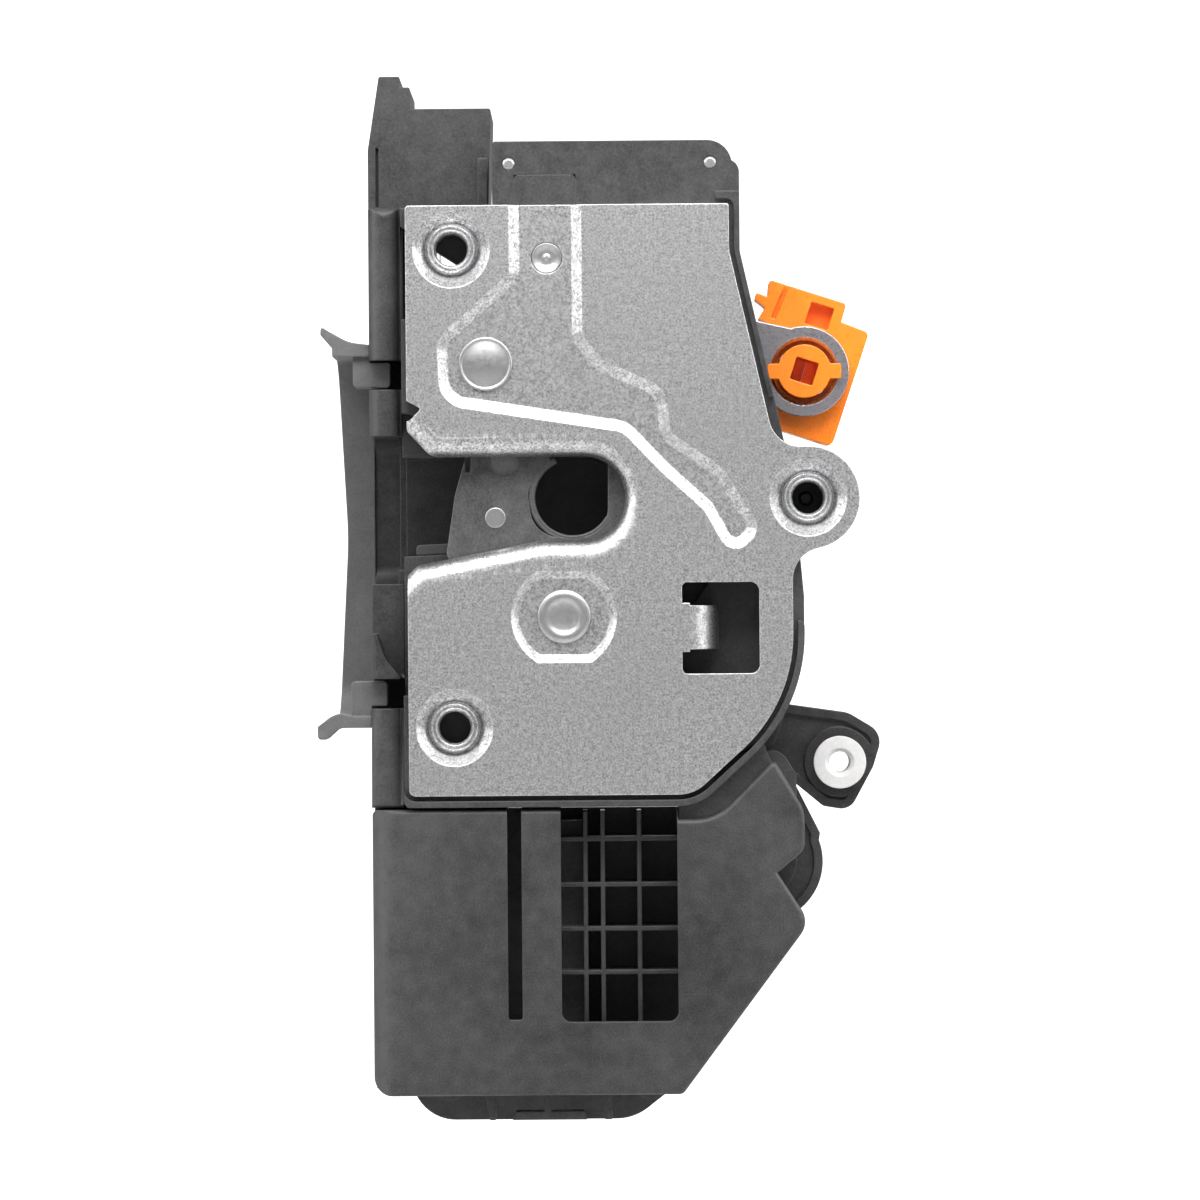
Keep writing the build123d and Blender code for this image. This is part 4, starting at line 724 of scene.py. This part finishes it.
class LATCH_OT_backing(bpy.types.Operator):
    """Add the cap behind the right screw, the ledge over the cover and the fillers of two gaps"""

    bl_idname = "latch.backing"
    bl_label = "Backing pieces"

    def execute(self, context):
        bm = bmesh.new()
        lathe(bm, SCREWS[2], SCREW_CAP)
        finish_piece(bm, "Right_Screw_Cap", "latch", "black_plastic")
        bm = bmesh.new()
        face = bm.faces.new([bm.verts.new((x, LEDGE_FRONT, z)) for x, z in LEDGE])
        back = bmesh.ops.extrude_face_region(bm, geom=[face])["geom"]
        verts = [item for item in back if isinstance(item, bmesh.types.BMVert)]
        bmesh.ops.translate(bm, verts=verts, vec=(0, LEDGE_DEPTH, 0))
        finish_piece(bm, "Cover_Ledge", "latch", "black_plastic", smooth=False)
        bm = bmesh.new()
        add_box(bm, *FILLER)
        finish_piece(bm, "Head_Filler", "latch", "black_plastic", smooth=False)
        bm = bmesh.new()
        for front, back, low, high in COLLAR:
            add_box(bm, (COLLAR_X[0], front, low), (COLLAR_X[1], back, high))
        finish_piece(bm, "Pouch_Collar", "latch", "black_plastic", smooth=False)
        return {"FINISHED"}


CLIP_TILT = radians(18)
CLIP_CLEARANCE = 0.15

# Stepped floor of the clip's square socket: (middle, depth) of each half, then half the width,
# half the height and the thickness of both
SOCKET_HALVES = ((-0.93, 6.2), (0.93, 5.2))
SOCKET_WIDE = 0.92
SOCKET_HIGH = 1.84
SOCKET_THICK = 1.6


class LATCH_OT_clip(bpy.types.Operator):
    """Hold the clip's barrel off the back plate and close its square socket with a stepped floor"""

    bl_idname = "latch.clip"
    bl_label = "Rod clip"

    def execute(self, context):
        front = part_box("clip_barrel")[0].y / MM
        bm = node_copy("clip_barrel")
        for vert in bm.verts:
            vert.co.y = max(vert.co.y, front + CLIP_CLEARANCE)
        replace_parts(finish_piece(bm, "Clip_Pivot", "rod_clip", "orange_plastic"), "clip_barrel")
        bm = bmesh.new()
        for middle, depth in SOCKET_HALVES:
            low = (middle - SOCKET_WIDE, front + depth, -SOCKET_HIGH)
            high = (middle + SOCKET_WIDE, front + depth + SOCKET_THICK, SOCKET_HIGH)
            add_box(bm, low, high)
        turn = Matrix.Rotation(CLIP_TILT, 4, "Y")
        place = Matrix.Translation((CLIP_AT[0], 0, CLIP_AT[1]))
        bmesh.ops.transform(bm, matrix=place @ turn, verts=bm.verts)
        finish_piece(bm, "Barrel_Floor", "rod_clip", "orange_plastic", smooth=False)
        return {"FINISHED"}


# Pip of the claw and rim of its throat, as (radius, depth behind the claw's front), and where
# the rim starts and how far it turns
CLAW_PIP = ((0.0, -0.06), (1.5, -0.06), (1.7, 0.1), (1.7, 0.5), (0.0, 0.5))
THROAT_RIM = ((5.9, 4.0), (5.9, 0.12), (6.15, -0.1), (6.4, 0.04), (6.6, -0.04), (6.9, 0.12), (6.9, 4.0))
THROAT_LEAD = radians(115)
THROAT_SWEEP = radians(215)


class LATCH_OT_claw(bpy.types.Operator):
    """Add the round pip of the claw and the double rim of its throat"""

    bl_idname = "latch.claw"
    bl_label = "Claw"

    def execute(self, context):
        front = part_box("fork_skin")[0].y / MM
        bm = bmesh.new()
        lathe(bm, CLAW_PIP_AT, [(radius, front + depth) for radius, depth in CLAW_PIP], steps=40)
        finish_piece(bm, "Claw_Pip", "fork", "rivet_steel")
        bm = bmesh.new()
        x, z = THROAT_AT
        line = [
            bm.verts.new((x + radius * cos(THROAT_LEAD), front + depth, z + radius * sin(THROAT_LEAD)))
            for radius, depth in THROAT_RIM
        ]
        edges = [bm.edges.new(pair) for pair in zip(line, line[1:] + line[:1])]
        bmesh.ops.spin(
            bm, geom=line + edges, cent=(x, 0, z), axis=(0, 1, 0), angle=-THROAT_SWEEP, steps=60
        )
        bmesh.ops.holes_fill(bm, edges=[edge for edge in bm.edges if edge.is_boundary], sides=0)
        finish_piece(bm, "Throat_Rim", "fork", "dark_plastic")
        return {"FINISHED"}


# Node, piece, length of the straight legs and turns of each spring
SPRINGS = (
    ("fork_spring", "Claw_Spring", 2.2, 2.0),
    ("pawl_spring", "Pawl_Spring", 2.2, 2.0),
    ("outside_spring", "Outside_Lever_Spring", 0.2, 0.75),
)
TURN_STEPS = 36


def wire_coil(bm, centre, coil_r, wire_r, front, rise, turns, leg):
    """Round wire wound about a line into the depth, with a straight leg at each end."""
    x, z = centre
    start = Matrix.Translation((x + coil_r, front, z))
    first = bmesh.ops.create_circle(bm, segments=10, radius=wire_r, matrix=start)["verts"]
    ring = first + list({edge for vert in first for edge in vert.link_edges})
    wound = bmesh.ops.spin(
        bm, geom=ring, cent=(x, front, z), axis=(0, 1, 0), dvec=(0, rise / TURN_STEPS, 0),
        angle=2 * pi * turns, steps=round(TURN_STEPS * turns),
    )
    for geom, angle, way in ((ring, 0.0, leg), (wound["geom_last"], 2 * pi * turns, -leg)):
        edges = [item for item in geom if isinstance(item, bmesh.types.BMEdge)]
        pulled = bmesh.ops.extrude_edge_only(bm, edges=edges)["geom"]
        verts = [item for item in pulled if isinstance(item, bmesh.types.BMVert)]
        bmesh.ops.translate(bm, verts=verts, vec=(way * sin(angle), 0, way * cos(angle)))
    bmesh.ops.holes_fill(bm, edges=[edge for edge in bm.edges if edge.is_boundary], sides=0)


class LATCH_OT_springs(bpy.types.Operator):
    """Wind the claw, pawl and outside lever springs from round wire"""

    bl_idname = "latch.springs"
    bl_label = "Springs"

    def execute(self, context):
        wire = context.scene.latch_sizes.spring_wire / MM
        for node, name, leg, turns in SPRINGS:
            low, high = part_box(node)
            centre = ((low.x + high.x) / 2 / MM, (low.z + high.z) / 2 / MM)
            deep = (high.y - low.y) / MM
            wire_r = min(wire, deep / 2) / 2
            front = low.y / MM + wire_r
            coil_r = (high.x - low.x) / 2 / MM - wire_r
            bm = bmesh.new()
            wire_coil(bm, centre, coil_r, wire_r, front, (deep - 2 * wire_r) / turns, turns, leg)
            piece = finish_piece(bm, name, "latch", "spring_steel")
            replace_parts(piece, node)
        return {"FINISHED"}


# Places of the screws in millimetres: on the case lid (x, z) and on the side lid (y, z)
CASE_SCREWS = ((-3.0, -18.0), (-1.6, -56.0), (30.0, -56.0), (22.0, -16.5))
SIDE_SCREWS = ((26.0, 75.0), (60.0, 75.5), (75.0, 46.0), (75.0, -36.0), (54.0, -52.0), (26.0, -4.5))

# Seats of their washers: behind the actuator case, and right of the side case's left face
CASE_LID_STEP = 2.0
SIDE_LID_STEP = 8.0

# Screw heads: width of the washer past the head, and the lobed socket, whose radius and lobes
# are shares of the head's radius and of its own
WASHER = 0.9
SOCKET_SHARE = 0.46
LOBE_SHARE = 0.13
LOBES = 6
SOCKET_DEPTH = 1.3


def lobed_screw(bm, place, way, head_r, shank_r, shank):
    """Washer head screw with a six-lobed socket, its head rising along a direction from a place."""
    before = set(bm.verts)
    profile = (
        (shank_r, -shank), (shank_r, 0.0), (head_r + WASHER, 0.0), (head_r + WASHER, 0.35),
        (head_r, 0.7), (head_r - 0.15, 1.6), (head_r - 0.6, 2.0), (head_r * 0.6, 2.1),
    )
    line = [bm.verts.new((radius, 0, height)) for radius, height in profile]
    edges = [bm.edges.new(pair) for pair in zip(line, line[1:])]
    bmesh.ops.spin(
        bm, geom=line + edges, cent=(0, 0, 0), axis=(0, 0, 1), angle=2 * pi, steps=48, use_merge=True
    )
    made = [vert for vert in bm.verts if vert not in before]
    touched = {edge for vert in made for edge in vert.link_edges}
    rim = [edge for edge in touched if edge.is_boundary and edge.verts[0].co.z > 2.0]
    for vert in {vert for edge in rim for vert in edge.verts}:
        angle = atan2(vert.co.y, vert.co.x)
        reach = head_r * SOCKET_SHARE * (1 + LOBE_SHARE * cos(LOBES * angle))
        vert.co.x, vert.co.y = reach * cos(angle), reach * sin(angle)
    sunk = bmesh.ops.extrude_edge_only(bm, edges=rim)["geom"]
    verts = [item for item in sunk if isinstance(item, bmesh.types.BMVert)]
    bmesh.ops.translate(bm, verts=verts, vec=(0, 0, -SOCKET_DEPTH))
    made = [vert for vert in bm.verts if vert not in before]
    touched = {edge for vert in made for edge in vert.link_edges}
    bmesh.ops.holes_fill(bm, edges=[edge for edge in touched if edge.is_boundary], sides=0)
    turn = Vector((0, 0, 1)).rotation_difference(Vector(way)).to_matrix().to_4x4()
    bmesh.ops.transform(bm, matrix=Matrix.Translation(place) @ turn, verts=made)


class LATCH_OT_screws(bpy.types.Operator):
    """Close the actuator case and the side case with washer head screws"""

    bl_idname = "latch.screws"
    bl_label = "Case screws"

    def execute(self, context):
        head_r = context.scene.latch_sizes.screw_head / MM
        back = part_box("actuator_case")[1].y / MM + CASE_LID_STEP
        bm = bmesh.new()
        for x, z in CASE_SCREWS:
            lobed_screw(bm, (x, back, z), (0, 1, 0), head_r, shank_r=1.1, shank=9.0)
        finish_piece(bm, "Cover_Screws", "latch", "rivet_steel", smooth=False)
        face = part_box("side_case")[0].x / MM + SIDE_LID_STEP
        bm = bmesh.new()
        for y, z in SIDE_SCREWS:
            lobed_screw(bm, (face, y, z), (1, 0, 0), head_r, shank_r=0.9, shank=1.2)
        finish_piece(bm, "Side_Screws", "latch", "rivet_steel", smooth=False)
        return {"FINISHED"}


# Light panels: name, place and size in metres, and power
LIGHT_AIM = (0.02, 0.02, 0.02)
PANELS = (
    ("Left Panel", (-0.85, -0.12, 0.42), (0.7, 0.8), 9.0),
    ("Right Panel", (0.85, -0.12, 0.40), (0.7, 0.8), 9.0),
    ("Top Panel", (0.02, -0.24, 0.36), (0.5, 0.25), 3.6),
    ("Back Panel", (0.1, 1.2, 0.7), (1.0, 0.8), 8.0),
)


def area_light(name, place, size, power):
    """Soft light panel at a place in metres, turned towards the latch."""
    data = bpy.data.lights.new(name, "AREA")
    data.shape = "RECTANGLE"
    data.size, data.size_y = size
    data.energy = power
    lamp = bpy.data.objects.new(name, data)
    lamp.location = place
    lamp.rotation_mode = "QUATERNION"
    lamp.rotation_quaternion = (Vector(LIGHT_AIM) - Vector(place)).to_track_quat("-Z", "Y")
    bpy.context.scene.collection.objects.link(lamp)


class LATCH_OT_stage(bpy.types.Operator):
    """Add the pale floor with its backdrop, the soft lights and the camera"""

    bl_idname = "latch.stage"
    bl_label = "Stage"

    def execute(self, context):
        scene = context.scene
        sizes = scene.latch_sizes
        self.add_camera(scene, sizes)
        self.add_backdrop(sizes, scene.latch_colours.floor)
        self.add_lights(scene)
        scene.view_settings.view_transform = "Standard"
        return {"FINISHED"}

    def add_camera(self, scene, sizes):
        """Camera straight before the face plate, with the photograph's view and tilt."""
        data = bpy.data.cameras.new("Photo Camera")
        data.sensor_width = 36.0
        data.lens = data.sensor_width * sizes.camera_distance / sizes.frame_width
        data.clip_start, data.clip_end = 0.05, 20.0
        camera = bpy.data.objects.new("Photo Camera", data)
        camera.location = (PHOTO_CENTRE[0] * MM, -sizes.camera_distance, PHOTO_CENTRE[1] * MM)
        camera.rotation_mode = "QUATERNION"
        level = Matrix.Rotation(radians(90), 4, "X")
        roll = Matrix.Rotation(sizes.camera_roll, 4, "Y")
        camera.rotation_quaternion = (roll @ level).to_quaternion()
        scene.collection.objects.link(camera)
        scene.camera = camera

    def add_backdrop(self, sizes, colour):
        """Floor that sweeps up into a backdrop, spun from a strip."""
        floor_z = CAD_BOX[0].z - sizes.floor_drop
        bm = bmesh.new()
        half, front, back, bend, rise = 6.0, -5.0, 1.6, 0.9, 4.0
        edge = bm.edges.new([bm.verts.new((x, front, floor_z)) for x in (-half, half)])
        floor = bmesh.ops.extrude_edge_only(bm, edges=[edge])["geom"]
        line = [item for item in floor if isinstance(item, bmesh.types.BMVert)]
        bmesh.ops.translate(bm, verts=line, vec=(0, back - front, 0))
        rim = [item for item in floor if isinstance(item, bmesh.types.BMEdge)]
        turned = bmesh.ops.spin(
            bm, geom=rim + line, cent=(0, back, floor_z + bend), axis=(1, 0, 0), angle=pi / 2, steps=24
        )
        top = [item for item in turned["geom_last"] if isinstance(item, bmesh.types.BMEdge)]
        wall = bmesh.ops.extrude_edge_only(bm, edges=top)["geom"]
        line = [item for item in wall if isinstance(item, bmesh.types.BMVert)]
        bmesh.ops.translate(bm, verts=line, vec=(0, 0, rise))
        mesh = bpy.data.meshes.new("Backdrop")
        bm.to_mesh(mesh)
        bm.free()
        mesh.shade_smooth()
        backdrop = bpy.data.objects.new("Backdrop", mesh)
        bpy.context.scene.collection.objects.link(backdrop)
        material, tree, shader = new_material("Pale Floor")
        place = tree.add("ShaderNodeTexCoord").outputs["Object"]
        tone = tree.noise(place, 3.0, 2.0, 0.5)
        tree.join(tree.mix(tone, shade(colour, 0.985), shade(colour, 1.015)), shader["Base Color"])
        shader["Roughness"].default_value = 0.9
        shader["Specular IOR Level"].default_value = 0.1
        seen = tree.add("ShaderNodeLightPath").outputs["Is Camera Ray"]
        tree.join(tree.mix(seen, (0.0, 0.0, 0.0), (1.0, 1.0, 1.0)), shader["Emission Color"])
        shader["Emission Strength"].default_value = 1.0
        mesh.materials.append(material)

    def add_lights(self, scene):
        """Four light panels, and a sky that brightens upwards."""
        for panel in PANELS:
            area_light(*panel)
        world = bpy.data.worlds.new("Studio")
        world.use_nodes = True
        sky = Tree(world.node_tree)
        split = sky.add("ShaderNodeSeparateXYZ")
        sky.join(sky.add("ShaderNodeTexCoord").outputs["Generated"], split.inputs["Vector"])
        height = sky.remap(split.outputs["Z"], -0.5, 0.8, 0.0, 1.0)
        background = world.node_tree.nodes["Background"]
        sky.join(sky.mix(height, (0.05, 0.05, 0.05), (0.75, 0.75, 0.75)), background.inputs["Color"])
        background.inputs["Strength"].default_value = 1.0
        scene.world = world


class LATCH_PT_panel(bpy.types.Panel):
    """Lists the sizes, colours and pieces of the latch"""

    bl_idname = "LATCH_PT_panel"
    bl_label = "Door Latch"
    bl_space_type = "VIEW_3D"
    bl_region_type = "UI"
    bl_category = "Latch"

    def draw(self, context):
        scene = context.scene
        for group in (scene.latch_sizes, scene.latch_colours):
            for name in group.bl_rna.properties.keys():
                if name not in {"rna_type", "name"}:
                    self.layout.prop(group, name)
        for operator in OPERATORS:
            self.layout.operator(operator.bl_idname)


OPERATORS = (
    LATCH_OT_finishes,
    LATCH_OT_face_plate,
    LATCH_OT_rivets,
    LATCH_OT_cases,
    LATCH_OT_backing,
    LATCH_OT_clip,
    LATCH_OT_claw,
    LATCH_OT_springs,
    LATCH_OT_screws,
    LATCH_OT_stage,
)
CLASSES = (LatchSizes, LatchColours, *OPERATORS, LATCH_PT_panel)


def register():
    """Register the classes and give every scene its settings."""
    for cls in CLASSES:
        bpy.utils.register_class(cls)
    bpy.types.Scene.latch_sizes = PointerProperty(type=LatchSizes)
    bpy.types.Scene.latch_colours = PointerProperty(type=LatchColours)


def unregister():
    """Take back everything that register made."""
    del bpy.types.Scene.latch_colours
    del bpy.types.Scene.latch_sizes
    for cls in reversed(CLASSES):
        bpy.utils.unregister_class(cls)


def main():
    """Run every operator in turn."""
    register()
    bpy.ops.latch.finishes()
    bpy.ops.latch.face_plate()
    bpy.ops.latch.rivets()
    bpy.ops.latch.cases()
    bpy.ops.latch.backing()
    bpy.ops.latch.clip()
    bpy.ops.latch.claw()
    bpy.ops.latch.springs()
    bpy.ops.latch.screws()
    bpy.ops.latch.stage()


if __name__ == "__main__":
    main()
